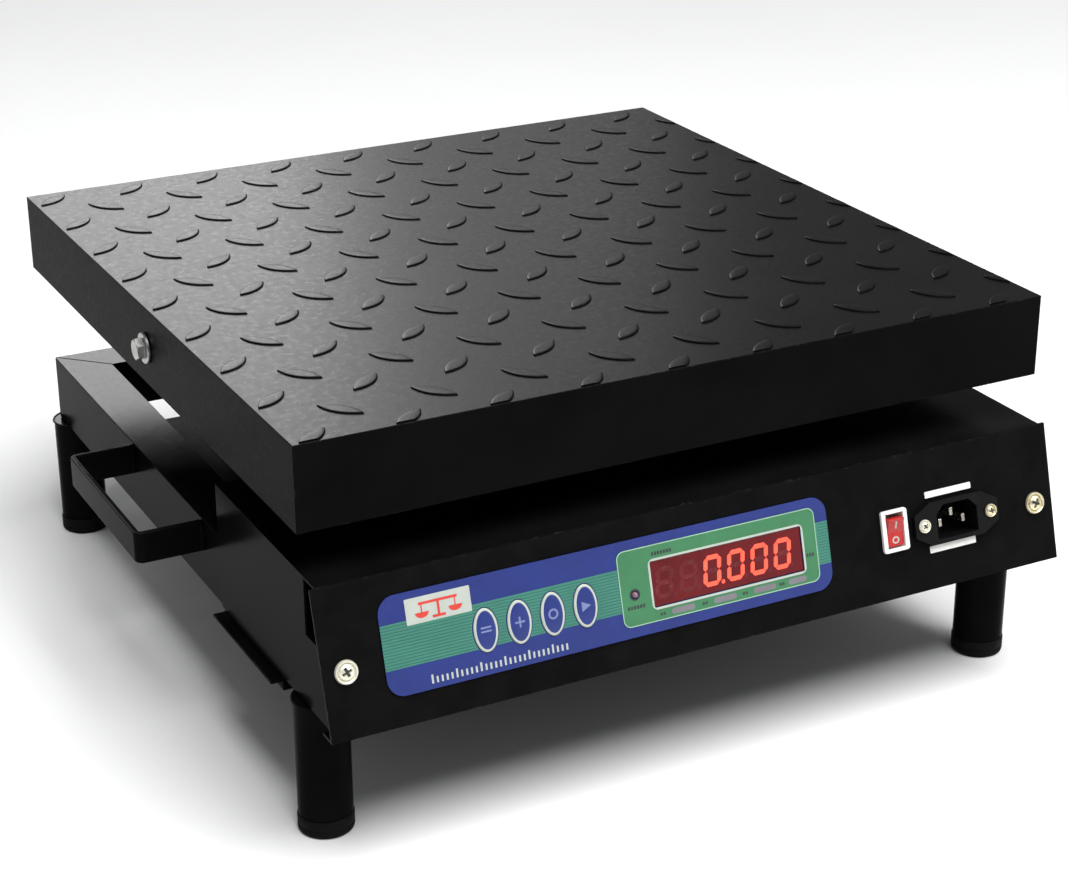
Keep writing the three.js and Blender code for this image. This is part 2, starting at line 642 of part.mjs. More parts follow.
function buildSwitch() {
  const half = { x: SWITCH.width / 2, y: SWITCH.height / 2 };
  const cavity = { halfWidth: ROCKER.halfWidth + 0.4, halfHeight: 8.7, depth: 9.5 };
  const body = { halfWidth: SWITCH_HOLE.halfWidth - 0.4, halfHeight: SWITCH_HOLE.halfHeight - 0.4 };
  const terminal = { halfWidth: 2.4, halfThick: 0.4, offset: 5, length: 7 };
  const bezel = prism(roundedRectangle(-half.x, half.x, -half.y, half.y, 1.5), GAP, BEZEL_PROUD, 3);
  const shell = block([-body.halfWidth, body.halfWidth], [-body.halfHeight, body.halfHeight],
    [-SWITCH.depth, GAP + 0.5]);
  const terminals = [-1, 1].map((end) => block([-terminal.halfWidth, terminal.halfWidth],
    [end * terminal.offset - terminal.halfThick, end * terminal.offset + terminal.halfThick],
    [-SWITCH.depth - terminal.length, 1 - SWITCH.depth]));
  const well = block([-cavity.halfWidth, cavity.halfWidth], [-cavity.halfHeight, cavity.halfHeight],
    [-cavity.depth, BEZEL_PROUD + 1]);
  const place = [across(SWITCH.across), -SWITCH.down, 0];
  add('switch_body', cut(join([bezel, shell, ...terminals]), [well]), 'whitePlastic', slope)
    .position.set(...place);

  const { halfLength, top, valley, pivotDepth } = ROCKER;
  const reach = pivotDepth + top;
  const profile = outline([
    [-halfLength, reach], [-halfLength + 0.3, pivotDepth - 1], [-3.5, -3], [3.5, -3],
    [halfLength - 0.3, pivotDepth - 1], [halfLength, reach], [0, pivotDepth + valley],
  ]);
  const rocker = prismAlongX(profile, -ROCKER.halfWidth, ROCKER.halfWidth);
  const mesh = add('rocker', rocker, 'redPlastic', slope);
  mesh.position.set(place[0], place[1], -pivotDepth);
  mesh.rotation.x = THREE.MathUtils.degToRad(ROCKER_TILT);
}

const SOCKET = { halfWidth: 12.2, halfHeight: 8.5, clipped: 4.5, floor: -14, flangeFront: 3.3 };
const FLANGE = { halfWidth: 25, endHalfHeight: 5.5, straightHalfWidth: 15.5, halfHeight: 10.8, back: 1.2 };
const PIN = { halfWidth: 1, halfHeight: 2, front: -1.5, tail: 6 };
const PINS = [['live', -7, -1.5], ['neutral', 7, -1.5], ['earth', 0, 3]];

// A shape that is the same in all four quarters, from its corner points in one quarter
function fourQuarters(points) {
  const back = [...points].reverse();
  return outline([
    ...points,
    ...back.map(([a, b]) => [-a, b]),
    ...points.map(([a, b]) => [-a, -b]),
    ...back.map(([a, b]) => [a, -b]),
  ]);
}

function pinBlade(grow) {
  const halfWidth = PIN.halfWidth + grow;
  const halfHeight = PIN.halfHeight + grow;
  return block([-halfWidth, halfWidth], [-halfHeight, halfHeight], [-INLET.depth - PIN.tail, PIN.front + grow]);
}

function buildInlet() {
  const place = [across(INLET.across), -INLET.down, 0];
  const { halfWidth, halfHeight, clipped, floor, flangeFront } = SOCKET;
  const flange = prism(fourQuarters([
    [FLANGE.halfWidth, FLANGE.endHalfHeight], [FLANGE.straightHalfWidth, FLANGE.halfHeight],
  ]), FLANGE.back, flangeFront);
  const body = block([-13.6, 13.6], [-9.9, 9.9], [-INLET.depth, FLANGE.back + 1]);
  // Two clipped corners key the plug
  const mouth = outline([
    [-halfWidth, -halfHeight], [halfWidth, -halfHeight], [halfWidth, halfHeight - clipped],
    [halfWidth - clipped, halfHeight], [-halfWidth + clipped, halfHeight], [-halfWidth, halfHeight - clipped],
  ]);
  const tools = [
    prism(mouth, floor, flangeFront + 1),
    ...PINS.map(([, x, y]) => pinBlade(GAP).translate(x, y, 0)),
    ...inletScrewHoles(),
  ];
  add('mains_inlet', cut(join([flange, body]), tools), 'blackPlastic', slope).position.set(...place);
  for (const [name, x, y] of PINS) {
    add(`inlet_pin_${name}`, pinBlade(0), 'zinc', slope).position.set(place[0] + x, place[1] + y, 0);
  }
  for (const [name, top, bottom] of STRIP_ROWS) {
    const shape = roundedRectangle(across(STRIP.left), across(STRIP.right), -bottom, -top, 0.4);
    add(`inlet_strip_${name}`, prism(shape, GAP, GAP + STRIP.thick, 2), 'whitePlastic', slope);
  }
  const headLow = flangeFront + GAP;
  const screw = turned([[0, -7], [1.6, -7], [1.6, headLow], [3.4, headLow], [3.1, headLow + 1.1],
    [0, headLow + 1.8]], 16);
  for (const [name, hand] of SIDES) {
    add(`inlet_screw_${name}`, screw.clone(), 'zinc', slope)
      .position.set(place[0] + hand * INLET.screwHalfPitch, place[1], 0);
  }
}

// ---------------------------------------------------------------- inside and under the housing
const TRAY = { right: -84, front: -160, back: -83, low: 60.2, flange: 6, flangeLow: 65, flangeThick: 1.5 };
const TRAY_TOP = BASE_BOTTOM - GAP;
const BATTERY = { left: -187, right: -90, front: -157, back: -105, height: 24, terminalHeight: 27 };
const TRANSFORMER = { left: 95, right: 145, front: -152, back: -122, height: 42, coil: 8 };

function buildCover() {
  const low = BASE_BOTTOM - GAP - SHEET;
  const legClear = 168;
  const trayClear = 4;
  const front = panelFaceY(PANEL_BOTTOM.z, 0) + PANEL_LIP + GAP;
  const cover = outline([
    [-legClear, front], [legClear, front], [legClear, HOUSING_BACK], [TRAY.right + trayClear, HOUSING_BACK],
    [TRAY.right + trayClear, TRAY.front - trayClear], [-legClear, TRAY.front - trayClear],
  ]);
  add('bottom_cover', prism(cover, low, low + SHEET), 'blackPaint');
}

// A shallow tray whose outer wall carries a flange that stands out past the base angle
function buildTray() {
  const left = -BASE_HALF_WIDTH;
  const tray = block([left, TRAY.right], [TRAY.front, TRAY.back], [TRAY.low, TRAY_TOP]);
  const flange = block([left - TRAY.flange, left + SHEET / 2], [TRAY.front, TRAY.back],
    [TRAY.flangeLow, TRAY.flangeLow + TRAY.flangeThick]);
  const hollow = block([left + SHEET, TRAY.right - SHEET], [TRAY.front + SHEET, TRAY.back - SHEET],
    [TRAY.low + SHEET, TRAY_TOP + 1]);
  add('battery_tray', cut(join([tray, flange]), [hollow]), 'blackPaint');
}

function buildBattery() {
  const low = TRAY.low + SHEET + GAP;
  const terminal = { left: BATTERY.left + 5, size: 6, rows: [19, 35] };
  const battery = join([
    block([BATTERY.left, BATTERY.right], [BATTERY.front, BATTERY.back], [low, low + BATTERY.height]),
    ...terminal.rows.map((row) => block([terminal.left, terminal.left + terminal.size],
      [BATTERY.front + row, BATTERY.front + row + terminal.size],
      [low + BATTERY.height - 1, low + BATTERY.terminalHeight])),
  ]);
  add('battery', battery, 'greyPlastic');
}

function buildTransformer() {
  const low = BASE_BOTTOM;
  const { left, right, front, back, height, coil } = TRANSFORMER;
  const winding = [low + coil, low + height - coil];
  const transformer = join([
    block([left, right], [front, back], [low, low + height]),
    block([left + coil - 1, right - coil + 1], [front - coil, back + coil], winding),
  ]);
  add('transformer', transformer, 'greyPlastic');
}

buildPan();
buildRails();
buildPanBolts();
buildPlatterCross();
buildLoadCell();
buildSpacers();
buildCellBolts();
buildStops();
buildCellCable();
buildSideAngles();
buildBackAngle();
buildFrontBarAndChannel();
buildLegs();
buildHandles();
buildHousingShell();
buildFrontPanel();
buildPanelScrews();
buildLabel();
buildKeys();
buildBoard();
buildDisplay();
buildSwitch();
buildInlet();
buildCover();
buildTray();
buildBattery();
buildTransformer();

export default scale;
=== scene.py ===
import json
import math
import random

import bmesh
import bpy
from mathutils import Matrix, Vector
from mathutils.geometry import tessellate_polygon


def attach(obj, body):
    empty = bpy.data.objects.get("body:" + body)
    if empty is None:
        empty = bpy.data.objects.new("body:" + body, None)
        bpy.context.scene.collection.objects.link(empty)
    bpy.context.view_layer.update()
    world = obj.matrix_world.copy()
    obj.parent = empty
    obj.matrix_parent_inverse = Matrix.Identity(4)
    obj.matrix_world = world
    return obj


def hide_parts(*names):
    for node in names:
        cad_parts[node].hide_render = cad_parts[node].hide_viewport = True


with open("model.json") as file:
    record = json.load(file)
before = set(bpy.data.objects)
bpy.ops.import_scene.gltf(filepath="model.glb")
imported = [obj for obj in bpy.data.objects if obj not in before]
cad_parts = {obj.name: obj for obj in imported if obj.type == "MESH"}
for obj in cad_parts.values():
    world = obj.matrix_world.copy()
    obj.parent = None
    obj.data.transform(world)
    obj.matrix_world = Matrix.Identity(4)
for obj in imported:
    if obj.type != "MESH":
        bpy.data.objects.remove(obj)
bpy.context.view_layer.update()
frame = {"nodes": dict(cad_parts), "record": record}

NODES = frame["nodes"]
BODIES = frame["record"]["behaviour"]["bodies"]
BODY_OF = {node: body for body, nodes in BODIES.items() for node in nodes}

# ------------------------------------------------------------------ dimensions, mm
MM = 0.001
SIDES = (("left", -1), ("right", 1))
PLATTER_SHIFT = 14.8  # the platter's middle, from the origin, along Y
TOP = 200.5
PLATTER_HALF = 200.0
PANEL_HALF = 199.5
PANEL_TOP = (-210.6, 136.0)
PANEL_RUN, PANEL_RISE = 19.0, 67.1
LEAN = math.atan2(PANEL_RUN, PANEL_RISE)

LABEL = dict(left=29.4, right=264.5, top=10.0, bottom=56.0, corner=8.5)
WINDOW = dict(left=166.5, right=248.7, top=22.7, bottom=44.0)
KEY_FIRST, KEY_PITCH, KEY_MIDDLE = 79.6, 17.0, 35.4
KEY_WIDTH, KEY_HEIGHT = 12.1, 20.4
KEY_SPARE = 0.55  # printing stays this far from a key
LAMP_AT = (156.5, 36.0)
SWITCH_AT = (302.4, 35.6)
INLET_AT = (338.3, 36.5)
FILM_FRONT = 0.8  # the label film's face, out from the panel
PAN_BOLT_AT = (-3.5, 22.0)  # along Y, and down from the platter's top
GROMMET_AT = (60.0, -85.0, 122.0)
LEG_AT = dict(side=187.0, front=-186.4, back=183.0)
CABLE_RADIUS = 2.5

MODEL = Matrix.Scale(MM, 4) @ Matrix.Translation((0.0, PLATTER_SHIFT, 0.0))
SLOPE = (MODEL @ Matrix.Translation((0.0, PANEL_TOP[0], PANEL_TOP[1]))
         @ Matrix.Rotation(math.pi / 2 - LEAN, 4, "X"))


# ------------------------------------------------------------------ node materials
NOISE_SPAN = (0.3, 0.7)  # where most of a noise texture's values lie
EDGE_SPAN = (0.995, 0.86)  # cosine between the rounded and the flat normal, from flat to sharp
SPECK_FADE, WEAR_AND_SHEEN_FADE, WEAR_AND_SHEEN_SCALE = 0.04, 0.08, 260.0
WALL_SPAN = (0.5, 0.9)  # upward part of the normal, from a wall to a top
GRAIN_DEPTH = 0.0003


class Nodes:
    """A material's node tree, with short calls for the nodes used here."""

    def __init__(self, name):
        self.material = bpy.data.materials.new(name)
        self.material.use_nodes = True
        self.tree = self.material.node_tree
        self.shader = self.tree.nodes["Principled BSDF"]
        self.place = self.tree.nodes.new("ShaderNodeTexCoord").outputs["Object"]

    def link(self, source, target):
        self.tree.links.new(source, target)

    def stretched(self, scale):
        node = self.tree.nodes.new("ShaderNodeMapping")
        self.link(self.place, node.inputs["Vector"])
        node.inputs["Scale"].default_value = scale
        return node.outputs["Vector"]

    def noise(self, scale, detail=3.0, rough=0.55, where=None):
        node = self.tree.nodes.new("ShaderNodeTexNoise")
        self.link(where or self.place, node.inputs["Vector"])
        node.inputs["Scale"].default_value = scale
        node.inputs["Detail"].default_value = detail
        node.inputs["Roughness"].default_value = rough
        return node.outputs["Fac"]

    def spread(self, value, low, high, out_low=0.0, out_high=1.0):
        node = self.tree.nodes.new("ShaderNodeMapRange")
        self.link(value, node.inputs["Value"])
        node.inputs["From Min"].default_value = low
        node.inputs["From Max"].default_value = high
        node.inputs["To Min"].default_value = out_low
        node.inputs["To Max"].default_value = out_high
        return node.outputs["Result"]

    def product(self, first, second):
        node = self.tree.nodes.new("ShaderNodeMath")
        node.operation = "MULTIPLY"
        self.link(first, node.inputs[0])
        self.link(second, node.inputs[1])
        return node.outputs[0]

    def blend(self, factor, first, second):
        node = self.tree.nodes.new("ShaderNodeMix")
        node.data_type = "RGBA"
        self.link(factor, node.inputs["Factor"])
        for value, target in ((first, node.inputs["A"]), (second, node.inputs["B"])):
            if isinstance(value, tuple):
                target.default_value = (*value, 1.0)
            else:
                self.link(value, target)
        return node.outputs["Result"]

    def bump(self, height, strength, distance):
        node = self.tree.nodes.new("ShaderNodeBump")
        self.link(height, node.inputs["Height"])
        node.inputs["Strength"].default_value = strength
        node.inputs["Distance"].default_value = distance
        return node.outputs["Normal"]

    def edges(self, radius):
        """1 at a sharp edge, 0 on a flat."""
        bevel = self.tree.nodes.new("ShaderNodeBevel")
        bevel.samples = 4
        bevel.inputs["Radius"].default_value = radius
        geometry = self.tree.nodes.new("ShaderNodeNewGeometry")
        dot = self.tree.nodes.new("ShaderNodeVectorMath")
        dot.operation = "DOT_PRODUCT"
        self.link(bevel.outputs["Normal"], dot.inputs[0])
        self.link(geometry.outputs["Normal"], dot.inputs[1])
        return self.spread(dot.outputs["Value"], *EDGE_SPAN)

    def upward(self):
        """1 on a face that looks up, 0 on a wall."""
        geometry = self.tree.nodes.new("ShaderNodeNewGeometry")
        parts = self.tree.nodes.new("ShaderNodeSeparateXYZ")
        self.link(geometry.outputs["True Normal"], parts.inputs["Vector"])
        return parts.outputs["Z"]


def scaled(color, factor):
    return tuple(min(1.0, channel * factor) for channel in color)


def surface(name, color, tint, tint_scale, rough, rough_scale=400.0, grain=900.0, bump=0.2, metallic=0.0,
            coat=0.0, coat_rough=0.1, specular=0.5, sides=None, brushed=None, edge_wear_and_sheen=None, speck=None,
            emission=None, emission_strength=0.0):
    """A patchy colour, uneven roughness and fine grain, with edge wear that is also a painted edge
    highlight, specks, painted shade that weakens the walls' reflections, or glow (painted glow on the
    display window and unlit bars) where given.
    """
    nodes = Nodes(name)
    shader = nodes.shader
    where = nodes.stretched(brushed) if brushed else None
    patches = nodes.spread(nodes.noise(tint_scale, 4.0, 0.6, where), *NOISE_SPAN)
    look = nodes.blend(patches, scaled(color, 1.0 - tint), scaled(color, 1.0 + tint))
    if speck:
        speck_color, speck_scale, share = speck
        dots = nodes.spread(nodes.noise(speck_scale, 2.0, 0.5), 1.0 - share, 1.0 - share + SPECK_FADE)
        look = nodes.blend(dots, look, speck_color)
    # Edge wear: a light colour on sharp edges, patchy by noise; it is also a painted edge highlight.
    if edge_wear_and_sheen:
        wear_and_sheen_color, radius, share = edge_wear_and_sheen
        wear_and_sheen_patches = nodes.spread(nodes.noise(WEAR_AND_SHEEN_SCALE, 5.0, 0.7),
                               1.0 - share - WEAR_AND_SHEEN_FADE, 1.0 - share + WEAR_AND_SHEEN_FADE)
        mask = nodes.product(nodes.edges(radius), wear_and_sheen_patches)
        look = nodes.blend(mask, look, wear_and_sheen_color)
    nodes.link(look, shader.inputs["Base Color"])
    rough_noise = nodes.noise(rough_scale, 4.0, 0.6, where)
    nodes.link(nodes.spread(rough_noise, *NOISE_SPAN, *rough), shader.inputs["Roughness"])
    height = nodes.noise(grain, 2.0, 0.5, where)
    nodes.link(nodes.bump(height, bump, GRAIN_DEPTH), shader.inputs["Normal"])
    shader.inputs["Metallic"].default_value = metallic
    shader.inputs["Specular IOR Level"].default_value = specular
    # Walls get a lower specular level than tops: painted shade that darkens the walls' reflections.
    if sides is not None:
        level = nodes.spread(nodes.upward(), *WALL_SPAN, sides, specular)
        nodes.link(level, shader.inputs["Specular IOR Level"])
    shader.inputs["Coat Weight"].default_value = coat
    shader.inputs["Coat Roughness"].default_value = coat_rough
    if emission:
        nodes.link(nodes.blend(patches, scaled(emission, 0.85), scaled(emission, 1.1)),
                   shader.inputs["Emission Color"])
        shader.inputs["Emission Strength"].default_value = emission_strength
    return nodes.material


def ink(color, tint=0.10, tint_scale=80.0, rough=(0.34, 0.44)):
    """Printed film or ink on the label; the dark ink also stands as painted shade in the screws' cross
    recesses.
    """
    return dict(color=color, tint=tint, tint_scale=tint_scale, rough=rough, grain=2400.0, bump=0.18)


# The edge-wear colour, which also serves as a painted edge highlight on the black paint.
EDGE_WEAR_AND_SHEEN = (0.075, 0.073, 0.07)
LOOK_SETTINGS = {
    "enamel": dict(
        color=(0.0038, 0.0038, 0.0040), tint=0.25, tint_scale=26.0, rough=(0.15, 0.23), rough_scale=300.0,
        grain=1500.0, bump=0.10, specular=0.045, sides=0.008, edge_wear_and_sheen=(EDGE_WEAR_AND_SHEEN, 0.0008, 0.36)),
    "platter_enamel": dict(
        color=(0.0040, 0.0040, 0.0042), tint=0.25, tint_scale=20.0, rough=(0.25, 0.35), rough_scale=260.0,
        grain=1500.0, bump=0.12, specular=0.055, sides=0.008, edge_wear_and_sheen=(EDGE_WEAR_AND_SHEEN, 0.0008, 0.38)),
    # Front panel: the same black enamel with a lighter base colour, which is a painted reflection of the
    # light in front.
    "panel_enamel_painted_reflection": dict(
        color=(0.0042, 0.0042, 0.0044), tint=0.3, tint_scale=60.0, rough=(0.30, 0.42), rough_scale=300.0,
        grain=1500.0, bump=0.14, specular=0.03, edge_wear_and_sheen=(EDGE_WEAR_AND_SHEEN, 0.0008, 0.36)),
    "inner_enamel": dict(
        color=(0.0036, 0.0036, 0.0038), tint=0.25, tint_scale=30.0, rough=(0.4, 0.55), rough_scale=240.0,
        grain=500.0, specular=0.03),
    "rubber": dict(
        color=(0.004, 0.004, 0.004), tint=0.3, tint_scale=90.0, rough=(0.6, 0.8), grain=1400.0, bump=0.3,
        specular=0.08),
    "zinc": dict(
        color=(0.40, 0.40, 0.385), tint=0.2, tint_scale=180.0, rough=(0.26, 0.44), rough_scale=500.0,
        metallic=1.0),
    "nickel": dict(
        color=(0.72, 0.68, 0.58), tint=0.08, tint_scale=160.0, rough=(0.18, 0.30), rough_scale=500.0,
        bump=0.12, metallic=1.0),
    "brass": dict(
        color=(0.76, 0.69, 0.48), tint=0.14, tint_scale=240.0, rough=(0.26, 0.40), rough_scale=600.0,
        grain=1500.0, metallic=0.8),
    "cup": dict(
        color=(0.80, 0.78, 0.66), tint=0.08, tint_scale=240.0, rough=(0.30, 0.44), rough_scale=600.0,
        grain=1500.0, bump=0.15, metallic=0.55),
    "aluminium": dict(
        color=(0.66, 0.67, 0.69), tint=0.08, tint_scale=60.0, rough=(0.30, 0.42), bump=0.25, metallic=1.0,
        brushed=(0.2, 6.0, 6.0)),
    "film_blue": ink((0.0075, 0.021, 0.165), tint_scale=60.0),
    "film_teal": ink((0.040, 0.20, 0.135), tint_scale=70.0),
    "film_line": ink((0.020, 0.12, 0.11), tint=0.12, tint_scale=90.0),
    "film_green": ink((0.038, 0.175, 0.074), tint_scale=70.0),
    "film_pale": ink((0.32, 0.50, 0.38), tint=0.08),
    "film_white": ink((0.44, 0.475, 0.43), tint=0.05, rough=(0.34, 0.46)),
    "film_sign": ink((0.17, 0.20, 0.40), tint=0.08, rough=(0.34, 0.46)),
    "film_red": ink((0.60, 0.045, 0.03)),
    # Dark ink for small print and the lamp ring, also used as painted shade in the screw recesses.
    "dark_ink_and_recess_shade": ink((0.025, 0.035, 0.03), tint=0.15, rough=(0.36, 0.46)),
    "film_grey": ink((0.17, 0.16, 0.18)),
    "key_blue": dict(
        color=(0.011, 0.026, 0.17), tint=0.12, tint_scale=90.0, rough=(0.30, 0.40), grain=2200.0),
    # Display window: its red glow is painted glow, as the pane itself is no lamp.
    "window": dict(
        color=(0.055, 0.004, 0.006), tint=0.35, tint_scale=50.0, rough=(0.06, 0.12), rough_scale=300.0,
        grain=500.0, bump=0.02, coat=0.6, coat_rough=0.05, emission=(0.30, 0.02, 0.022),
        emission_strength=0.32),
    # Unlit display bars: their faint red glow is painted glow, as these bars are off.
    "unlit": dict(
        color=(0.085, 0.008, 0.010), tint=0.2, tint_scale=120.0, rough=(0.2, 0.3), rough_scale=300.0,
        bump=0.05, emission=(0.4, 0.02, 0.02), emission_strength=0.12),
    "lit": dict(
        color=(0.75, 0.05, 0.03), tint=0.10, tint_scale=200.0, rough=(0.25, 0.35), rough_scale=300.0,
        bump=0.05, emission=(1.0, 0.085, 0.045), emission_strength=1.35),
    "lamp": dict(
        color=(0.20, 0.10, 0.12), tint=0.2, tint_scale=400.0, rough=(0.12, 0.2), rough_scale=500.0,
        bump=0.05, coat=0.5),
    "black_plastic": dict(
        color=(0.0035, 0.0035, 0.0038), tint=0.25, tint_scale=120.0, rough=(0.32, 0.44), rough_scale=500.0,
        grain=1800.0, specular=0.12),
    "white_plastic": dict(
        color=(0.80, 0.80, 0.77), tint=0.06, tint_scale=90.0, rough=(0.30, 0.42), grain=1700.0, bump=0.18),
    "red_plastic": dict(
        color=(0.42, 0.012, 0.010), tint=0.12, tint_scale=120.0, rough=(0.24, 0.34), grain=1500.0,
        bump=0.15),
    "jacket": dict(
        color=(0.022, 0.022, 0.024), tint=0.25, tint_scale=140.0, rough=(0.48, 0.62), rough_scale=500.0,
        grain=1300.0, bump=0.35),
    "board": dict(
        color=(0.012, 0.13, 0.045), tint=0.2, tint_scale=240.0, rough=(0.30, 0.46), rough_scale=500.0,
        grain=1500.0, bump=0.3, speck=((0.45, 0.38, 0.16), 420.0, 0.33)),
    "battery": dict(
        color=(0.055, 0.058, 0.062), tint=0.15, tint_scale=70.0, rough=(0.42, 0.56), rough_scale=300.0,
        grain=1300.0, bump=0.35),
    "transformer": dict(
        color=(0.22, 0.21, 0.20), tint=0.2, tint_scale=300.0, rough=(0.38, 0.55), bump=0.4, metallic=0.85,
        brushed=(1.0, 1.0, 22.0)),
}
LOOK = {name: surface(name, **settings) for name, settings in LOOK_SETTINGS.items()}


# ------------------------------------------------------------------ meshes
def to_mesh(name, verts, faces, matrix=Matrix.Identity(4), flatten=False):
    work = bmesh.new()
    made = [work.verts.new(matrix @ Vector(vert)) for vert in verts]
    for face in faces:
        work.faces.new([made[index] for index in face])
    bmesh.ops.remove_doubles(work, verts=work.verts, dist=1e-7)
    if flatten:
        bmesh.ops.dissolve_limit(work, angle_limit=0.002, verts=work.verts, edges=work.edges)
    bmesh.ops.recalc_face_normals(work, faces=work.faces)
    mesh = bpy.data.meshes.new(name)
    work.to_mesh(mesh)
    work.free()
    return mesh


def shaded(mesh, angle):
    mesh.shade_smooth()
    mesh.set_sharp_from_angle(angle=math.radians(angle))


def piece(name, mesh, look, slot, body="base", stands_for=(), bevel=0.0, segments=2, angle=32.0):
    shaded(mesh, angle)
    obj = bpy.data.objects.new(name, mesh)
    bpy.context.scene.collection.objects.link(obj)
    mesh.materials.clear()
    mesh.materials.append(LOOK[look])
    if bevel:
        edge = obj.modifiers.new("rounded_edges", "BEVEL")
        edge.width = bevel * MM
        edge.segments = segments
        edge.limit_method = "ANGLE"
        edge.angle_limit = math.radians(angle)
        edge.harden_normals = True
        edge.use_clamp_overlap = True
    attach(obj, body)
    if stands_for:
        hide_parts(*stands_for)


def refined(node, look, bevel, segments=2):
    """The CAD node's own shape with clean faces and rounded edges."""
    work = bmesh.new()
    work.from_mesh(NODES[node].data)
    bmesh.ops.remove_doubles(work, verts=work.verts, dist=2e-6)
    bmesh.ops.dissolve_limit(work, angle_limit=0.004, verts=work.verts, edges=work.edges)
    bmesh.ops.recalc_face_normals(work, faces=work.faces)
    mesh = bpy.data.meshes.new(f"{node}_shape")
    work.to_mesh(mesh)
    work.free()
    slot = NODES[node].data.materials[0].name
    piece(f"{node}_finished", mesh, look, slot, BODY_OF[node], (node,), bevel, segments)


def flat_solid(outer, holes, low, high):
    """Points and faces of a flat solid with holes."""
    loops = [outer, *holes]
    count = sum(len(loop) for loop in loops)
    verts = [(x, y, z) for z in (low, high) for loop in loops for x, y in loop]
    caps = tessellate_polygon([[Vector((x, y, 0.0)) for x, y in loop] for loop in loops])
    faces = [tuple(reversed(face)) for face in caps]
    faces += [tuple(index + count for index in face) for face in caps]
    start = 0
    for loop in loops:
        size = len(loop)
        for step in range(size):
            a, b = start + step, start + (step + 1) % size
            faces.append((a, b, b + count, a + count))
        start += size
    return verts, faces


def merged(parts):
    verts, faces = [], []
    for part_verts, part_faces in parts:
        shift = len(verts)
        verts += part_verts
        faces += [tuple(index + shift for index in face) for face in part_faces]
    return verts, faces


def moved(part, matrix):
    verts, faces = part
    return [tuple(matrix @ Vector(vert)) for vert in verts], faces


def solid(name, part, matrix, look, slot, flatten=False, **rest):
    """One piece made from points and faces."""
    piece(name, to_mesh(name, *part, matrix, flatten), look, slot, **rest)


def plates(name, outlines, low, high, look, slot, matrix=SLOPE, **rest):
    """One piece made of flat solids: outlines are (outer, holes) pairs."""
    parts = [flat_solid(outer, holes, low, high) for outer, holes in outlines]
    solid(name, merged(parts), matrix, look, slot, flatten=True, **rest)


def ring_faces(low, high, count):
    """Faces between two rings of points that start at low and at high."""
    return [(low + step, low + (step + 1) % count, high + (step + 1) % count, high + step)
            for step in range(count)]


def lathe(profile, sides):
    """Points and faces turned about Z from [radius, height] points."""
    verts, rings = [], []
    for radius, height in profile:
        if radius < 1e-6:
            rings.append([len(verts)])
            verts.append((0.0, 0.0, height))
            continue
        rings.append(list(range(len(verts), len(verts) + sides)))
        for step in range(sides):
            turn = 2 * math.pi * step / sides
            verts.append((radius * math.cos(turn), radius * math.sin(turn), height))
    faces = []
    for low, high in zip(rings, rings[1:]):
        for step in range(sides):
            after = (step + 1) % sides
            if len(low) == 1:
                faces.append((low[0], high[after], high[step]))
            elif len(high) == 1:
                faces.append((low[step], low[after], high[0]))
            else:
                faces.append((low[step], low[after], high[after], high[step]))
    return verts, faces


def ring_lathe(profile, sides):
    """A closed ring: the profile's last point joins its first."""
    return lathe([*profile, profile[0]], sides)


def arc(x, y, radius_x, radius_y, start, stop, steps):
    points = []
    for step in range(steps + 1):
        turn = math.radians(start + (stop - start) * step / steps)
        points.append((x + radius_x * math.cos(turn), y + radius_y * math.sin(turn)))
    return points


def oval(x, y, width, height, steps=72):
    return arc(x, y, width / 2, height / 2, 0.0, 360.0 - 360.0 / steps, steps - 1)


def rounded(left, right, low, high, radius):
    if radius <= 0:
        return [(left, low), (right, low), (right, high), (left, high)]
    steps = 8
    return (arc(right - radius, low + radius, radius, radius, -90, 0, steps)
            + arc(right - radius, high - radius, radius, radius, 0, 90, steps)
            + arc(left + radius, high - radius, radius, radius, 90, 180, steps)
            + arc(left + radius, low + radius, radius, radius, 180, 270, steps))


def u_x(across):
    return across - PANEL_HALF


def printed(left, right, top, bottom, radius=0.0, grow=0.0):
    """A rounded rectangle given by its place on the panel's face."""
    return rounded(u_x(left) - grow, u_x(right) + grow, -bottom - grow, -top + grow,
                   radius + grow if radius else 0.0)


def boolean(mesh, cutter, operation, name):
    """The mesh after one exact cut or intersection with a closed mesh."""
    body = bpy.data.objects.new(name, mesh)
    tool = bpy.data.objects.new(f"{name}_tool", cutter)
    for obj in (body, tool):
        bpy.context.scene.collection.objects.link(obj)
    change = body.modifiers.new("cut", "BOOLEAN")
    change.operation = operation
    change.object = tool
    change.solver = "EXACT"
    graph = bpy.context.evaluated_depsgraph_get()
    result = bpy.data.meshes.new_from_object(body.evaluated_get(graph))
    for obj in (body, tool):
        bpy.data.objects.remove(obj, do_unlink=True)
    work = bmesh.new()
    work.from_mesh(result)
    bmesh.ops.remove_doubles(work, verts=work.verts, dist=1e-6)
    work.to_mesh(result)
    work.free()
    return result


def tube(points, radius, sides, closed=False, ripple=None):
    """A round bar along points; ripple gives the radius factor at each step."""
    count = len(points)
    path = [Vector(point) for point in points]
    verts, faces = [], []
    normal = None
    for step in range(count):
        before = path[step - 1] if (closed or step > 0) else path[0]
        after = path[(step + 1) % count] if (closed or step < count - 1) else path[-1]
        ahead = (after - before).normalized()
        if normal is None:
            normal = ahead.orthogonal().normalized()
        normal = (normal - ahead * normal.dot(ahead)).normalized()
        side = ahead.cross(normal)
        size = radius * (ripple[step] if ripple else 1.0)
        for spoke in range(sides):
            turn = 2 * math.pi * spoke / sides
            verts.append(tuple(path[step] + normal * size * math.cos(turn) + side * size * math.sin(turn)))
    for step in range(count if closed else count - 1):
        faces += ring_faces(step * sides, ((step + 1) % count) * sides, sides)
    if not closed:
        faces.append(tuple(reversed(range(sides))))
        faces.append(tuple(range((count - 1) * sides, count * sides)))
    return verts, faces


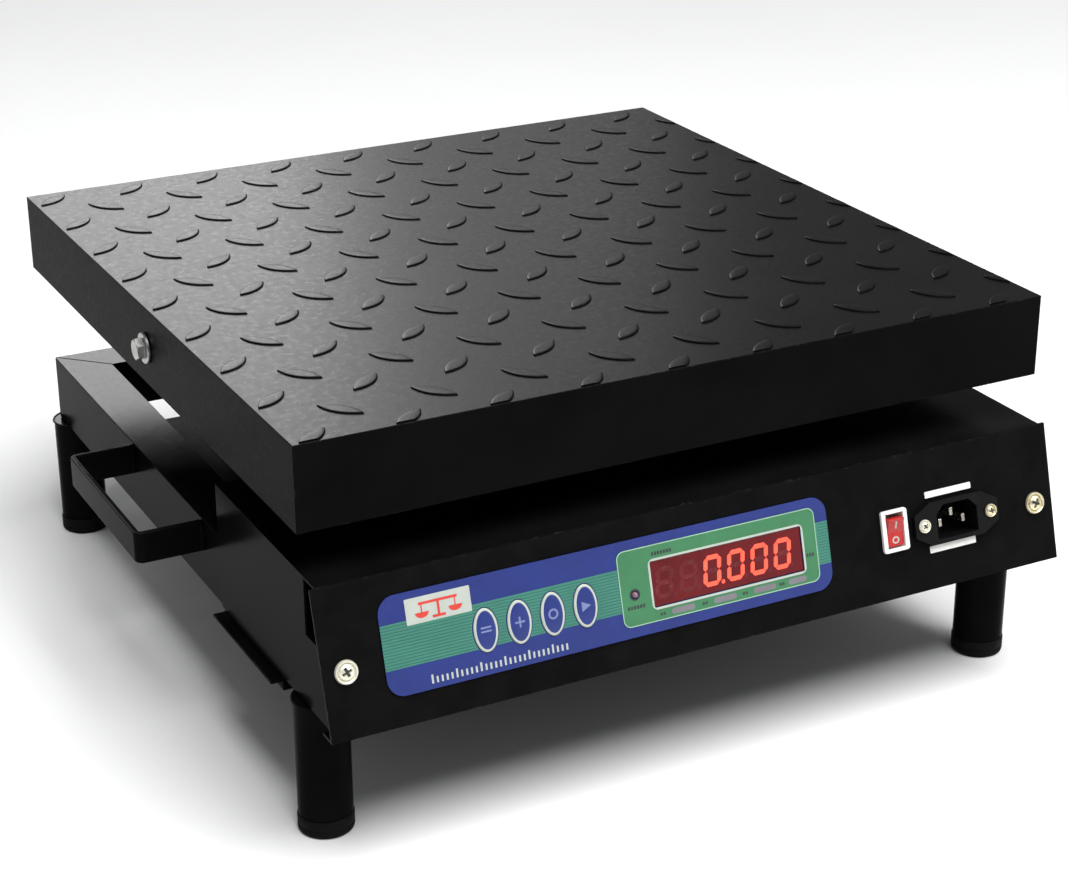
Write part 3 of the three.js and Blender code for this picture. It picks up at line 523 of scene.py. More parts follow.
def catmull_rom(knots, steps):
    """A smooth path through the knots."""
    padded = [2 * knots[0] - knots[1], *knots, 2 * knots[-1] - knots[-2]]
    path = []
    for index in range(len(knots) - 1):
        a, b, c, d = padded[index:index + 4]
        for step in range(steps):
            t = step / steps
            path.append(0.5 * (2 * b + (c - a) * t + (2 * a - 5 * b + 4 * c - d) * t * t
                               + (3 * b - a - 3 * c + d) * t ** 3))
    path.append(knots[-1])
    return path


# ------------------------------------------------------------------ platter
# Two sets of bars: the first bar's place, its turn in degrees and its length
TREAD = dict(step=(45.7, 47.6), slash=(-188.9, 185.5, 38.0, 22.5), dash=(-165.9, 161.0, -50.0, 23.5),
             width=8.0, height=0.8, count=11, margin=1.4)
TREAD_PROFILE = [(1.0, -0.6), (1.0, 0.0), (0.985, 0.45), (0.95, 0.75), (0.88, 0.90), (0.72, 0.97),
                 (0.35, 1.0)]  # share of the outline at a share of the height


def tread_bar(x, y, turn, length, width, height):
    """A lens-shaped rib of checkered plate, its foot sunk into the plate."""
    half, wide, points = length / 2, width / 2, 20
    bulge = (half * half + wide * wide) / (2 * wide)
    reach = math.asin(half / bulge)
    outline = []
    for side in (1, -1):
        for step in range(points):
            around = reach * (1 - 2 * step / points)
            outline.append((side * bulge * math.sin(around),
                            side * (bulge * math.cos(around) - bulge + wide)))
    verts, faces = [], []
    for size, level in TREAD_PROFILE:
        for px, py in outline:
            along = 1.0 - (1.0 - size) * wide / half * 1.6
            verts.append((px * along, py * size, level * height))
    ring, top_ring = len(outline), len(TREAD_PROFILE) - 1
    for level in range(top_ring):
        faces += ring_faces(level * ring, (level + 1) * ring, ring)
    faces.append(tuple(reversed(range(ring))))
    faces.append(tuple(range(top_ring * ring, (top_ring + 1) * ring)))
    place = Matrix.Translation((x, y, TOP)) @ Matrix.Rotation(math.radians(turn), 4, "Z")
    return moved((verts, faces), place)


def build_tread():
    edge = PLATTER_HALF - TREAD["margin"]
    parts = []
    step_x, step_y = TREAD["step"]
    for start_x, start_y, turn, length in (TREAD["slash"], TREAD["dash"]):
        reach_x = length / 2 * abs(math.cos(math.radians(turn)))
        reach_y = length / 2 * abs(math.sin(math.radians(turn)))
        for column in range(-1, TREAD["count"] - 1):
            for row in range(-1, TREAD["count"] - 1):
                x, y = start_x + column * step_x, start_y - row * step_y
                if abs(x) - reach_x * 0.7 > edge or abs(y) - reach_y * 0.7 > edge:
                    continue
                parts.append(tread_bar(x, y, turn, length, TREAD["width"], TREAD["height"]))
    mesh = to_mesh("tread_ribs", *merged(parts), MODEL)
    work = bmesh.new()
    work.from_mesh(mesh)
    for normal in ((1, 0, 0), (-1, 0, 0), (0, 1, 0), (0, -1, 0)):
        plane = MODEL @ Vector((normal[0] * edge, normal[1] * edge, 0.0))
        cut = bmesh.ops.bisect_plane(
            work, geom=[*work.verts, *work.edges, *work.faces], dist=1e-6,
            plane_co=plane, plane_no=normal, clear_outer=True)
        rims = [item for item in cut["geom_cut"] if isinstance(item, bmesh.types.BMEdge)]
        bmesh.ops.holes_fill(work, edges=rims, sides=0)
    bmesh.ops.recalc_face_normals(work, faces=work.faces)
    work.to_mesh(mesh)
    work.free()
    piece("tread_ribs", mesh, "platter_enamel", "black_paint", "platter", angle=40)


def hex_head(radius, low, high):
    """A six-sided head with its corners turned down."""
    corners = arc(0, 0, radius, radius, 0, 300, 5)
    prism = to_mesh("head", *flat_solid(corners, [], low, high))
    wide, flat = radius * 1.04, radius * math.cos(math.pi / 6) * 0.96
    drop = (wide - flat) * 0.55
    cone = to_mesh("cone", *lathe([(0, low - 1), (wide, low - 1), (wide, high - drop), (flat, high),
                                   (0, high)], 72))
    return boolean(prism, cone, "INTERSECT", "head")


def build_pan_bolts():
    hole, washer, thick, round_off = 3.3, 8.0, 1.5, 0.3
    head_radius, head_low, head_high = 5.8, 2.1, 6.1
    ring = ring_lathe([(hole, 0.0), (washer - round_off, 0.0), (washer, round_off),
                       (washer, thick - round_off), (washer - round_off, thick), (hole + 0.2, thick),
                       (hole, thick - 0.2)], 72)
    for name, side in SIDES:
        out = (MODEL @ Matrix.Translation((side * PLATTER_HALF, PAN_BOLT_AT[0], TOP - PAN_BOLT_AT[1]))
               @ Matrix.Rotation(side * math.pi / 2, 4, "Y"))
        at_skirt = out @ Matrix.Translation((0, 0, 0.3))
        solid(f"pan_washer_{name}_ring", ring, at_skirt, "zinc", "zinc_steel", body="platter",
              stands_for=(f"pan_washer_{name}",))
        shank = to_mesh("shank", *lathe([(0, -11), (2.6, -11), (3, -10.5), (3, 3.5), (0, 3.5)], 40))
        head = boolean(hex_head(head_radius, head_low, head_high), shank, "UNION", "bolt")
        head.transform(out)
        piece(f"pan_bolt_{name}_head", head, "zinc", "zinc_steel", "platter", (f"pan_bolt_{name}",),
              bevel=0.15, angle=25)


def build_platter():
    refined("platter_pan", "platter_enamel", 1.3, 4)
    build_tread()
    build_pan_bolts()
    for node in ("platter_rail_left", "platter_rail_right"):
        refined(node, "inner_enamel", 0.7)
    refined("platter_cross_channel", "inner_enamel", 0.5)
    for node in ("upper_spacer", "live_end_bolt_1", "live_end_bolt_2"):
        refined(node, "zinc", 0.3)


# ------------------------------------------------------------------ weighing mechanism
CABLE_ROUTE = [(75.3, 0, 146), (85.3, -1, 145), (92, -18, 139), (86, -46, 128), (68, -72, 123),
               (60, -85, 122), (54, -110, 121), (46, -150, 117), (42, -182, 112), (42, -197, 110)]


def build_load_cell():
    half, half_height, half_depth, middle = 75.0, 19.0, 19.0, 143.0
    radius, offset, slot = 13.0, 17.0, 4.0
    touch = math.degrees(math.asin(slot / radius))
    opening = (arc(offset, middle, radius, radius, -180 + touch, 180 - touch, 56)
               + arc(-offset, middle, radius, radius, touch, 360 - touch, 56))
    outline = rounded(-half, half, middle - half_height, middle + half_height, 0.0)
    beam = flat_solid(outline, [opening], -half_depth, half_depth)
    upright = MODEL @ Matrix.Rotation(math.pi / 2, 4, "X")
    solid("load_cell_beam", beam, upright, "aluminium", "cell_aluminium", flatten=True,
          stands_for=("load_cell",), bevel=0.6)


def build_cable():
    knots = [Vector(point) for point in CABLE_ROUTE]
    solid("signal_cable", tube(catmull_rom(knots, 10), CABLE_RADIUS, 20), MODEL, "jacket", "cable_jacket",
          stands_for=("load_cell_cable",), angle=60)
    collar = [(2.7, -2.2), (4.8, -2.2), (4.8, -0.2), (4.8, 1.4), (6.9, 1.5), (7.6, 2.2), (6.9, 3.0),
              (3.4, 3.4), (2.7, 3.0)]
    place = MODEL @ Matrix.Translation(GROMMET_AT) @ Matrix.Rotation(-math.pi / 2, 4, "X")
    solid("cable_grommet", ring_lathe(collar, 48), place, "rubber", "foot_rubber", angle=50)


def build_mechanism():
    build_load_cell()
    build_cable()
    for node in ("lower_spacer", "fixed_end_bolt_1", "fixed_end_bolt_2", "overload_stop_left",
                 "overload_stop_right"):
        refined(node, "zinc", 0.3)


# ------------------------------------------------------------------ base frame
HANDLE = dict(length=109.0, reach=34.2, height=16.4, bar=3.0, bend=4.5, root=195.3, y=-4.0, z=97.0)


def weld(name, points, radius, closed, seed):
    """A bead of weld with its ripples."""
    rng = random.Random(seed)
    swell, rate, uneven = 0.13, 2.1, 0.07
    ripple = [1.0 + swell * math.sin(step * rate) + rng.uniform(-uneven, uneven)
              for step in range(len(points))]
    solid(name, tube(points, radius, 12, closed, ripple), MODEL, "enamel", "black_paint", angle=70)


def build_legs():
    top, bore, outer, low = 68.9, 11.0, 13.0, 9.3
    leg = lathe([(0, top - 2), (bore, top - 2), (bore, low), (outer - 0.3, low), (outer, low + 0.3),
                 (outer, top - 0.3), (outer - 0.3, top), (0, top)], 96)
    foot = lathe([(0, 0), (11.2, 0), (12.5, 0.25), (13.2, 0.9), (13.4, 1.8), (13.4, 3.6), (13.2, 3.85),
                  (13.2, 4.15), (13.4, 4.4), (13.4, 7.9), (13.25, 8.6), (12.9, 9.0), (10.7, 9.0),
                  (10.7, 12.0), (10.4, 12.4), (10.7, 12.8), (10.7, 16.0), (10.4, 16.4), (10.7, 16.8),
                  (10.7, 20.0), (9.7, 21.0), (0, 21.0)], 96)
    bead_radius, bead_from_middle, seed = 0.7, 13.2, 11
    for row in ("front", "back"):
        for name, side in SIDES:
            x, y = side * LEG_AT["side"], LEG_AT[row]
            place = MODEL @ Matrix.Translation((x, y, 0))
            solid(f"leg_{row}_{name}_tube", leg, place, "enamel", "black_paint",
                  stands_for=(f"leg_{row}_{name}",))
            solid(f"foot_{row}_{name}_cap", foot, place, "rubber", "foot_rubber",
                  stands_for=(f"foot_{row}_{name}",), angle=40)
            around = arc(x, y, bead_from_middle, bead_from_middle, 0, 356.4, 99)
            bead = [(*point, top - 0.2) for point in around]
            weld(f"weld_leg_{row}_{name}", bead, bead_radius, True, seed + side + len(row))


def build_handles():
    length, reach, bar, bend = (HANDLE[key] for key in ("length", "reach", "bar", "bend"))
    half = length / 2
    outer = ([(0.0, -half)] + arc(reach - bend, -half + bend, bend, bend, -90, 0, 12)
             + arc(reach - bend, half - bend, bend, bend, 0, 90, 12) + [(0.0, half)])
    inner = ([(0.0, half - bar)] + arc(reach - bend, half - bend, bend - bar, bend - bar, 90, 0, 12)
             + arc(reach - bend, -half + bend, bend - bar, bend - bar, 0, -90, 12) + [(0.0, bar - half)])
    loop = flat_solid(outer + inner, [], 0.0, HANDLE["height"])
    low = HANDLE["z"] - HANDLE["height"] / 2
    bead_radius, bead_x, bead_air, seed = 1.0, 195.9, 0.4, 31
    bead_start, bead_length, bead_steps = 0.8, 14.4, 18
    for name, side in SIDES:
        turn = Matrix.Rotation(math.pi if side < 0 else 0.0, 4, "Z")
        place = MODEL @ Matrix.Translation((side * HANDLE["root"], HANDLE["y"], low)) @ turn
        solid(f"handle_{name}_bar", loop, place, "enamel", "black_paint", flatten=True,
              stands_for=(f"handle_{name}",), bevel=0.7, segments=3)
        for end, index in ((-1, 0), (1, 1)):
            for face, outward in ((half + bead_air, 1), (half - bar - bead_air, 2)):
                y = HANDLE["y"] + end * face
                bead = [(side * bead_x, y, low + bead_start + bead_length * step / bead_steps)
                        for step in range(bead_steps + 1)]
                weld(f"weld_handle_{name}_{index}_{outward}", bead, bead_radius, False,
                     seed + index + outward)


def build_base():
    for node in ("base_angle_left", "base_angle_right", "base_angle_back"):
        refined(node, "enamel", 0.45, 3)
    for node in ("base_front_bar", "base_channel"):
        refined(node, "inner_enamel", 0.5)
    build_legs()
    build_handles()


# ------------------------------------------------------------------ housing and panel
def cross_points(arm, wide):
    star = []
    for quarter in range(4):
        turn = Matrix.Rotation(quarter * math.pi / 2, 2)
        for point in ((arm, -wide), (arm, wide), (wide, wide)):
            x, y = turn @ Vector(point)
            star.append((x, y))
    return star


def cross_cutter(arm, wide, low, high):
    """A cross with sloping sides, narrow at the bottom."""
    verts, faces = flat_solid(cross_points(arm, wide), [], low, high)
    narrow = 0.66
    shaped = [(x * narrow, y * narrow, z) if z == low else (x, y, z) for x, y, z in verts]
    return to_mesh("cross", shaped, faces)


PANEL_SCREW = dict(radius=5.6, low=0.3, high=2.7, shank=2.1, tip=-9.0, cross=(3.2, 0.95, 1.7))
INLET_SCREW = dict(radius=3.4, low=3.6, high=5.4, shank=1.6, tip=-7.0, cross=(2.0, 0.65, 1.3))


def screw(name, place, node, look, slot, radius, low, high, shank, tip, cross):
    """A cross-head screw with a raised rim, a groove and a domed middle, and a dark plate of painted shade
    deep in its cross.
    """
    dome = high - low
    rim = [(0, tip), (shank * 0.6, tip), (shank, tip + shank * 0.8), (shank, low), (radius - 0.15, low),
           (radius, low + 0.2), (radius - 0.1, low + dome * 0.42), (radius * 0.93, low + dome * 0.60),
           (radius * 0.84, low + dome * 0.62), (radius * 0.74, low + dome * 0.40),
           (radius * 0.70, low + 0.3)]
    flat = radius * 0.64
    rim += [(flat + 0.05, low + 0.3), (flat, low + dome * 0.5)]
    for step in range(1, 9):
        turn = step / 8
        rim.append((flat * (1 - turn), low + dome * (0.5 + 0.5 * math.sin(turn * math.pi / 2))))
    body = to_mesh("screw", *lathe(rim, 72))
    arm, wide, depth = cross
    body = boolean(body, cross_cutter(arm, wide, high - depth, high + 1.0), "DIFFERENCE", "screw")
    body.transform(place)
    piece(name, body, look, slot, stands_for=(node,), angle=28)
    # A dark plate near the bottom of the cross: painted shade in the recess.
    shadow = [(x * 0.98, y * 0.98) for x, y in cross_points(arm * 0.7, wide * 0.7)]
    plates(f"{name}_recess_shade", [(shadow, [])], high - depth + 0.04, high - depth + 0.3, "dark_ink_and_recess_shade", slot,
           matrix=place)


def on_panel(across, down, z=0.0, turn=0.0):
    return (SLOPE @ Matrix.Translation((u_x(across), -down, z))
            @ Matrix.Rotation(math.radians(turn), 4, "Z"))


def build_screws():
    inset, down, inlet_half_pitch = 11.2, 39.0, 20.0
    width = 2 * PANEL_HALF
    for name, across, turn, look in (("left", inset, 22.0, "cup"), ("right", width - inset, 64.0, "brass")):
        place = on_panel(across, down, 0.0, turn)
        node = f"panel_screw_{name}"
        screw(f"{node}_head", place, node, look, "brass_screw", **PANEL_SCREW)
    for name, side, turn, look in (("left", -1, 40.0, "cup"), ("right", 1, 12.0, "brass")):
        place = on_panel(INLET_AT[0] + side * inlet_half_pitch, INLET_AT[1], 0.0, turn)
        node = f"inlet_screw_{name}"
        screw(f"{node}_head", place, node, look, "zinc_steel", **INLET_SCREW)


def key_places():
    return [KEY_FIRST + KEY_PITCH * index for index in range(4)]


def key_half_width(down):
    """How far a key's hole reaches each side of its middle at a height on the panel."""
    tall = KEY_HEIGHT / 2 + KEY_SPARE
    offset = (down - KEY_MIDDLE) / tall
    if abs(offset) >= 1:
        return 0.0
    return (KEY_WIDTH / 2 + KEY_SPARE) * math.sqrt(1 - offset * offset)


def film(name, outlines, level, look, slot="label_film", **rest):
    """Ink or film on the label, in steps of a twentieth of a millimetre."""
    thick, step, proud = 0.09, 0.05, 0.04
    low = FILM_FRONT + step * level - thick + proud
    plates(name, outlines, low, low + thick, look, slot, **rest)


BAND = (22.7, 43.4)
BAND_LINES = dict(count=14, first=0.9, pitch=1.43, thick=0.5, air=0.3, shortest=0.4)
BLOCK = dict(left=149.0, right=257.5, top=14.5, bottom=51.0)
NAME_BOX = dict(left=42.4, right=74.4, top=13.3, bottom=25.2)


def band_outline(left, right, keys):
    top, bottom = BAND
    points = [(u_x(right), -top), (u_x(left), -top), (u_x(left), -bottom)]
    half_width, half_height = KEY_WIDTH / 2 + KEY_SPARE, KEY_HEIGHT / 2 + KEY_SPARE
    reach = math.degrees(math.asin((bottom - KEY_MIDDLE) / half_height))
    for middle in keys:
        points += arc(u_x(middle), -KEY_MIDDLE, half_width, half_height, 180 + reach, -reach, 40)
    points.append((u_x(right), -bottom))
    return points


def build_band():
    film("label_band", [(band_outline(LABEL["left"] + 0.02, BLOCK["left"], key_places()), []),
                        (band_outline(BLOCK["right"], LABEL["right"] - 0.02, []), [])], 1, "film_teal")
    lines = []
    thick, air = BAND_LINES["thick"], BAND_LINES["air"]
    for index in range(BAND_LINES["count"]):
        down = BAND[0] + BAND_LINES["first"] + index * BAND_LINES["pitch"]
        reach = key_half_width(down)
        gaps = [(middle - reach - air, middle + reach + air) for middle in key_places()]
        if down < NAME_BOX["bottom"] + 2 * air:
            gaps.insert(0, (NAME_BOX["left"], NAME_BOX["right"]))
        start = LABEL["left"] + 0.1
        for low, high in [*gaps, (BLOCK["left"], BLOCK["left"])]:
            if low - start > BAND_LINES["shortest"]:
                lines.append((printed(start, low, down, down + thick), []))
            start = max(start, high)
        lines.append((printed(BLOCK["right"] + 2 * air, LABEL["right"] - 0.1, down, down + thick), []))
    film("label_band_lines", lines, 2, "film_line")


def window_print(radius, grow):
    return printed(WINDOW["left"], WINDOW["right"], WINDOW["top"], WINDOW["bottom"], radius, grow)


def lamp_print(size):
    return oval(u_x(LAMP_AT[0]), -LAMP_AT[1], size, size, 40)


def build_block():
    """The green block round the window, its edge line and the rings round window and lamp."""
    lamp, inset, line = lamp_print(4.2), 0.5, 0.4
    block = [BLOCK[key] for key in ("left", "right", "top", "bottom")]
    film("label_block", [(printed(*block, 4.0), [window_print(0.0, 0.4), lamp])], 3, "film_green")
    edge = [block[0] + inset, block[1] - inset, block[2] + inset, block[3] - inset]
    film("label_block_edge", [(printed(*edge, 3.5, line), [printed(*edge, 3.5)])], 4, "film_pale")
    film("window_frame_line", [(window_print(1.4, 1.5), [window_print(0.4, 0.45)])], 5, "film_white")
    film("lamp_ring_print", [(lamp_print(5.6), [lamp])], 4, "dark_ink_and_recess_shade")


FIELDS = [(181.0, 6.2), (204.0, 6.2), (226.0, 6.2), (244.5, 5.0)]  # middle and half width
FIELD_ROW = (46.6, 49.4)
# Where broken dashes stand for small print: left, right, top and bottom
SMALL_PRINT = [(168.6, 172.9, 47.3, 48.7), (191.4, 195.6, 47.3, 48.7), (213.6, 217.8, 47.3, 48.7),
               (234.2, 238.0, 47.3, 48.7), (167.4, 178.6, 18.1, 19.8), (152.0, 161.4, 41.1, 42.8),
               (250.8, 255.2, 36.5, 38.2)]
TICKS = dict(count=29, first=50.5, pitch=2.42, width=0.95, foot=53.5, tall=4.1, short=2.9, group=5)


def build_marks():
    """Grey fields, and broken dashes in place of small print."""
    fields = [(printed(middle - half, middle + half, *FIELD_ROW, 1.2), []) for middle, half in FIELDS]
    film("label_fields", fields, 4, "film_grey")
    dash, air = 1.15, 0.45
    marks = []
    for start, right, top, bottom in SMALL_PRINT:
        while start + dash <= right + 0.01:
            marks.append((printed(start, start + dash, top, bottom), []))
            start += dash + air
    film("label_marks", marks, 4, "dark_ink_and_recess_shade")


def build_ticks():
    ticks = []
    for index in range(TICKS["count"]):
        across, foot = TICKS["first"] + index * TICKS["pitch"], TICKS["foot"]
        tall = TICKS["short"] if index % TICKS["group"] else TICKS["tall"]
        ticks.append((printed(across, across + TICKS["width"], foot - tall, foot), []))
    film("label_graduation", ticks, 2, "film_white")


def build_balance_mark():
    """A white box with a plain pair of scales: beam, post, foot and two pans."""
    box = [NAME_BOX[key] for key in ("left", "right", "top", "bottom")]
    film("label_name_box", [(printed(*box, 0.5), [])], 3, "film_white")
    middle, top = (box[0] + box[1]) / 2, box[2] + 2.6
    half_beam, half_post, half_foot, hang, half_string = 9.5, 0.6, 3.2, 8.2, 0.3
    parts = [(printed(middle - half_beam, middle + half_beam, top, top + 1.2), []),
             (printed(middle - half_post, middle + half_post, top + 1.2, top + 7.2), []),
             (printed(middle - half_foot, middle + half_foot, top + 7.0, top + 8.2), [])]
    for side in (-1, 1):
        pan = u_x(middle + side * hang)
        left, right, high, low = pan - half_string, pan + half_string, -(top + 1.0), -(top + 4.7)
        parts.append((arc(pan, -(top + 4.6), 3.4, 2.6, 180, 360, 20), []))
        parts.append(([(left, high), (left, low), (right, low), (right, high)], []))
    film("label_balance_mark", parts, 4, "film_red")


def build_label():
    holes = [window_print(0.0, 0.3)]
    holes += [oval(u_x(middle), -KEY_MIDDLE, KEY_WIDTH + 0.6, KEY_HEIGHT + 0.6) for middle in key_places()]
    holes.append(lamp_print(3.6))
    outer = printed(LABEL["left"], LABEL["right"], LABEL["top"], LABEL["bottom"], LABEL["corner"])
    plates("label_sheet", [(outer, holes)], 0.3, FILM_FRONT, "film_blue", "label_film",
           stands_for=("panel_label",), bevel=0.12)
    build_band()
    build_block()
    build_marks()
    build_balance_mark()
    build_ticks()


def key_sign(index, x, y):
    """Plain signs: two bars, a plus, a ring and a pointer."""
    if index == 0:
        return [(rounded(x - 2.6, x + 2.6, low, low + 0.8, 0.2), []) for low in (y - 0.9, y + 0.9)]
    if index == 1:
        return [([(x + px, y + py) for px, py in cross_points(2.5, 0.45)], [])]
    if index == 2:
        return [(oval(x, y, 5.0, 5.0, 40), [oval(x, y, 3.2, 3.2, 40)])]
    return [([(x - 2.2, y - 2.4), (x + 2.4, y), (x - 2.2, y + 2.4)], [])]


KEY_BACK, KEY_FACE = -2.0, 1.5
# The cap's crown: share of the key's oval, and height from the face
KEY_CROWN = [(1.0, -0.75), (0.975, -0.35), (0.93, -0.15), (0.80, 0.02), (0.55, 0.12), (0.28, 0.16)]
# The rim round the cap: inset from the key's edge, and height from the face
KEY_RIM = [(0.0, -0.6), (0.02, -0.30), (0.3, 0.02), (1.15, 0.09), (1.25, 0.03), (1.25, -0.4)]
KEY_STEPS = 72


def key_cap(x, y):
    rows = [(1.0, KEY_BACK)] + [(size, KEY_FACE + height) for size, height in KEY_CROWN]
    verts, faces = [], []
    for size, z in rows:
        verts += [(px, py, z) for px, py in oval(x, y, KEY_WIDTH * size, KEY_HEIGHT * size, KEY_STEPS)]
    top = len(verts) - KEY_STEPS
    for low in range(0, top, KEY_STEPS):
        faces += ring_faces(low, low + KEY_STEPS, KEY_STEPS)
    faces.append(tuple(reversed(range(KEY_STEPS))))
    faces.append(tuple(range(top, top + KEY_STEPS)))
    end, root, radius = -7.4, KEY_BACK + 0.3, 2.5
    stem = lathe([(0, end), (radius - 0.2, end), (radius, end + 0.2), (radius, root), (0, root)], 32)
    return merged([(verts, faces), moved(stem, Matrix.Translation((x, y, 0)))])


def key_rim(x, y):
    verts, faces = [], []
    for inset, height in KEY_RIM:
        ring = oval(x, y, KEY_WIDTH - 2 * inset, KEY_HEIGHT - 2 * inset, KEY_STEPS)
        verts += [(px, py, KEY_FACE + height) for px, py in ring]
    for low in range(0, len(verts), KEY_STEPS):
        faces += ring_faces(low, (low + KEY_STEPS) % len(verts), KEY_STEPS)
    return verts, faces


def build_keys():
    for index, middle in enumerate(key_places()):
        x, y = u_x(middle), -KEY_MIDDLE
        body, node = f"key_{index + 1}_body", f"key_{index + 1}"
        solid(f"{node}_cap", key_cap(x, y), SLOPE, "key_blue", "key_film", body=body,
              stands_for=(node,), angle=35)
        solid(f"{node}_rim", key_rim(x, y), SLOPE, "film_white", "key_film", body=body, angle=50)
        plates(f"{node}_sign", key_sign(index, x, y), KEY_FACE + 0.10, KEY_FACE + 0.20, "film_sign",
               "key_film", body=body)


ZERO = "abcdef"  # the bars lit in a nought
DIGIT = dict(width=9.6, height=14.8, bar=2.15, slant=math.radians(7.0), first=199.0, pitch=13.0,
             middle=33.5, count=6, blank=2)  # first: the first figure that is lit


def segment_shapes():
    """The seven bars of a figure, about its middle."""
    half_w, half_h = DIGIT["width"] / 2, DIGIT["height"] / 2
    bar, air = DIGIT["bar"], 0.18
    half = bar / 2

    def level(y):
        return [(-half_w + half + air, y), (-half_w + bar + air * 0.6, y + half),
                (half_w - bar - air * 0.6, y + half), (half_w - half - air, y),
                (half_w - bar - air * 0.6, y - half), (-half_w + bar + air * 0.6, y - half)]

    def upright(x, low, high):
        return [(x, low + air), (x + half, low + half + air * 0.6), (x + half, high - half - air * 0.6),
                (x, high - air), (x - half, high - half - air * 0.6), (x - half, low + half + air * 0.6)]

    reach = half_h - half
    side = half_w - half
    return {"a": level(reach), "g": level(0.0), "d": level(-reach),
            "b": upright(side, 0.0, reach), "c": upright(side, -reach, 0.0),
            "f": upright(-side, 0.0, reach), "e": upright(-side, -reach, 0.0)}


def leaned(points, middle):
    shear = math.tan(DIGIT["slant"])
    return [(u_x(middle) + x + y * shear, -DIGIT["middle"] + y) for x, y in points]


def build_display():
    back, front = -1.3, 0.5
    outline = rounded(u_x(WINDOW["left"]), u_x(WINDOW["right"]), -WINDOW["bottom"], -WINDOW["top"], 0.4)
    # The pane's material glows: painted glow on the window.
    plates("display_window_pane", [(outline, [])], back, front, "window", "red_window",
           stands_for=("display_window",), bevel=0.15)
    shapes = segment_shapes()
    lit, unlit = [], []
    for place in range(DIGIT["count"]):
        middle = DIGIT["first"] + DIGIT["pitch"] * (place - DIGIT["blank"])
        shown = ZERO if place >= DIGIT["blank"] else ""
        for letter, points in shapes.items():
            (lit if letter in shown else unlit).append((leaned(points, middle), []))
        point = oval(DIGIT["width"] / 2 + 1.2, -DIGIT["height"] / 2 + 0.9, 1.9, 1.9, 24)
        (lit if place == DIGIT["blank"] else unlit).append((leaned(point, middle), []))
    plates("display_figures", lit, front - 0.1, front + 0.05, "lit", "red_window")
    # The unlit bars glow faintly: painted glow.
    plates("display_unlit_bars", unlit, front - 0.1, front + 0.02, "unlit", "red_window")
    lamp = lathe([(0, -12.7), (1.5, -12.7), (1.5, 0.9), (1.42, 1.4), (1.2, 1.9), (0.8, 2.3), (0.4, 2.46),
                  (0, 2.5)], 40)
    solid("indicator_lamp_lens", lamp, on_panel(*LAMP_AT), "lamp", "red_plastic",
          stands_for=("indicator_lamp",), angle=50)


def build_switch():
    refined("switch_body", "white_plastic", 0.45, 3)
    refined("rocker", "red_plastic", 0.55, 3)
    tilt, pivot = math.radians(11.0), -2.5
    valley, ridge, half_length, half_thick = 4.0, 5.1, 7.3, 0.06  # heights above the pivot
    on_rocker = on_panel(*SWITCH_AT, pivot) @ Matrix.Rotation(tilt, 4, "X")
    slope = math.atan2(ridge - valley, half_length)
    for name, side, outlines in (
            ("line", 1, [(rounded(-0.45, 0.45, -1.9, 1.9, 0.2), [])]),
            ("circle", -1, [(oval(0, 0, 4.0, 3.6, 48), [oval(0, 0, 2.5, 2.1, 48)])])):
        middle = side * 3.9
        height = valley + abs(middle) * math.tan(slope)
        place = (on_rocker @ Matrix.Translation((0, middle, height))
                 @ Matrix.Rotation(side * slope, 4, "X"))
        plates(f"rocker_mark_{name}", outlines, -half_thick, half_thick, "film_white", "white_plastic",
               matrix=place, body="rocker_body")


def build_housing():
    refined("housing_shell", "enamel", 0.5)
    refined("front_panel", "panel_enamel_painted_reflection", 0.35)
    refined("bottom_cover", "enamel", 0.3)
    refined("battery_tray", "enamel", 0.4)
    refined("battery", "battery", 0.8)
    refined("transformer", "transformer", 0.6)
    refined("circuit_board", "board", 0.1)
    refined("display_module", "black_plastic", 0.3)
    build_screws()
    build_label()
    build_keys()
    build_display()
    build_switch()
    refined("mains_inlet", "black_plastic", 0.5, 3)
    for row in ("top", "bottom"):
        refined(f"inlet_strip_{row}", "white_plastic", 0.15)
    for pin in ("live", "neutral", "earth"):
        refined(f"inlet_pin_{pin}", "nickel", 0.35, 3)


# ------------------------------------------------------------------ floor, light, camera
def build_floor():
    half = 6
    corners = [(-half, -half, 0), (half, -half, 0), (half, half, 0), (-half, half, 0)]
    mesh = to_mesh("floor", corners, [(0, 1, 2, 3)])
    nodes = Nodes("floor_paper")
    patches = nodes.spread(nodes.noise(1.5, 3.0), *NOISE_SPAN)
    look = nodes.blend(patches, (0.88, 0.88, 0.88), (0.92, 0.92, 0.92))
    nodes.link(look, nodes.shader.inputs["Base Color"])
    rough = nodes.spread(nodes.noise(60.0, 3.0), *NOISE_SPAN, 0.75, 0.9)
    nodes.link(rough, nodes.shader.inputs["Roughness"])
    nodes.shader.inputs["Specular IOR Level"].default_value = 0.2
    obj = bpy.data.objects.new("floor", mesh)
    mesh.materials.append(nodes.material)
    bpy.context.scene.collection.objects.link(obj)


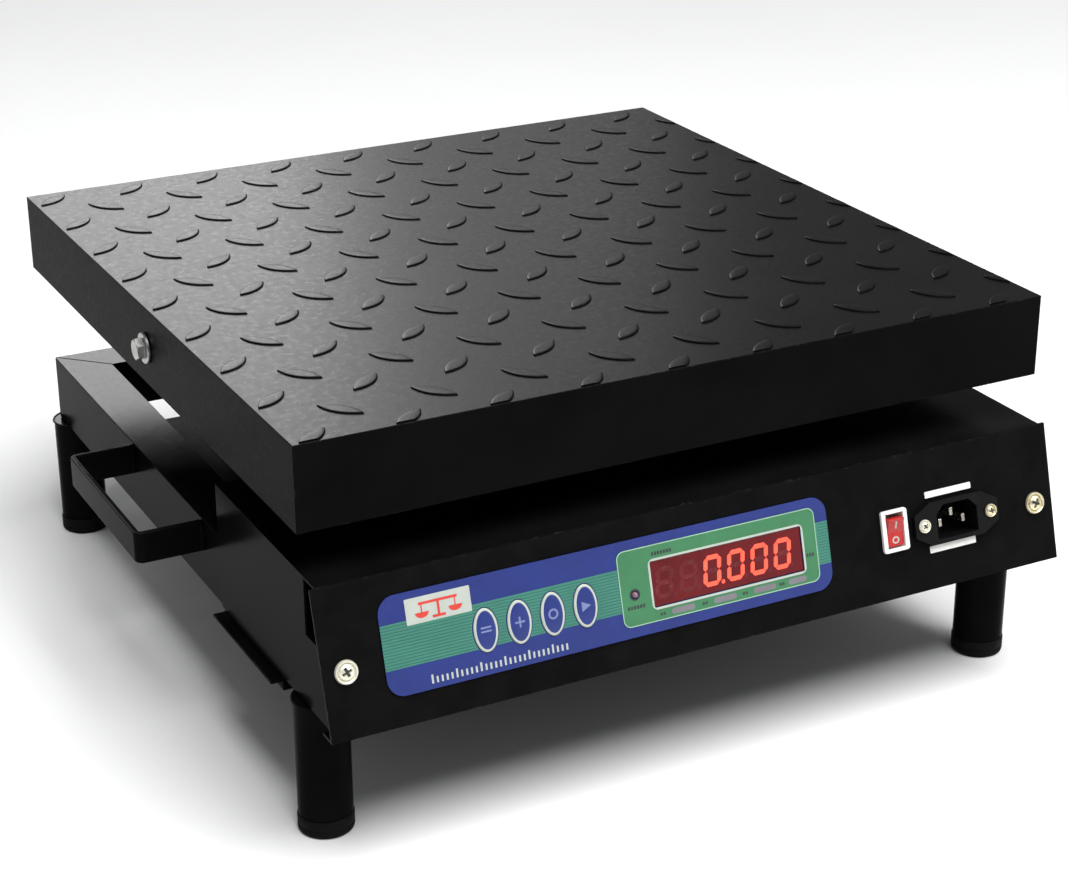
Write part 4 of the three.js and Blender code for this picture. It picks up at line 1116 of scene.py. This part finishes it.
def area_light(name, azimuth, elevation, distance, size, power, sheen_only=False):
    """A soft box aimed at the object; azimuth turns from +Y towards +X."""
    aim = (0, 0, 0.12)
    a, e = math.radians(azimuth), math.radians(elevation)
    outward = Vector((math.sin(a) * math.cos(e), math.cos(a) * math.cos(e), math.sin(e)))
    place = Vector(aim) + distance * outward
    lamp = bpy.data.lights.new(name, "AREA")
    lamp.shape = "RECTANGLE"
    lamp.size, lamp.size_y = size
    lamp.energy = power
    obj = bpy.data.objects.new(name, lamp)
    obj.location = place
    obj.rotation_euler = (Vector(aim) - place).to_track_quat("-Z", "Y").to_euler()
    obj.visible_camera = False
    obj.visible_diffuse = not sheen_only
    bpy.context.scene.collection.objects.link(obj)


def build_lights():
    area_light("back_box", 6.5, 31.0, 2.6, (1.16, 1.6), 45.0, sheen_only=True)
    area_light("side_box", 25.0, 26.0, 2.7, (0.66, 1.1), 3.6, sheen_only=True)
    area_light("front_box", 135.0, 26.0, 3.0, (1.7, 1.3), 24.0, sheen_only=True)
    area_light("top_box", 168.0, 66.0, 3.2, (2.3, 2.3), 168.0)
    world = bpy.data.worlds.new("studio")
    world.use_nodes = True
    background = world.node_tree.nodes["Background"]
    background.inputs["Color"].default_value = (0.93, 0.94, 0.96, 1.0)
    background.inputs["Strength"].default_value = 0.25
    bpy.context.scene.world = world
    bpy.context.scene.view_settings.view_transform = "Standard"


def build_camera():
    place = Vector((-0.52924, -1.05208, 0.60026))
    right = Vector((0.88859, -0.45868, -0.00497))
    up = Vector((0.18520, 0.34882, 0.91871))
    back = -Vector((0.41966, 0.81727, -0.39490))
    camera = bpy.data.cameras.new("camera")
    camera.sensor_fit = "HORIZONTAL"
    camera.sensor_width = 36.0
    camera.lens = 79.49
    obj = bpy.data.objects.new("camera", camera)
    turn = Matrix((right, up, back)).transposed()
    obj.matrix_world = Matrix.Translation(place) @ turn.to_4x4()
    bpy.context.scene.collection.objects.link(obj)
    bpy.context.scene.camera = obj


build_camera()
build_platter()
build_mechanism()
build_base()
build_housing()
build_floor()
build_lights()
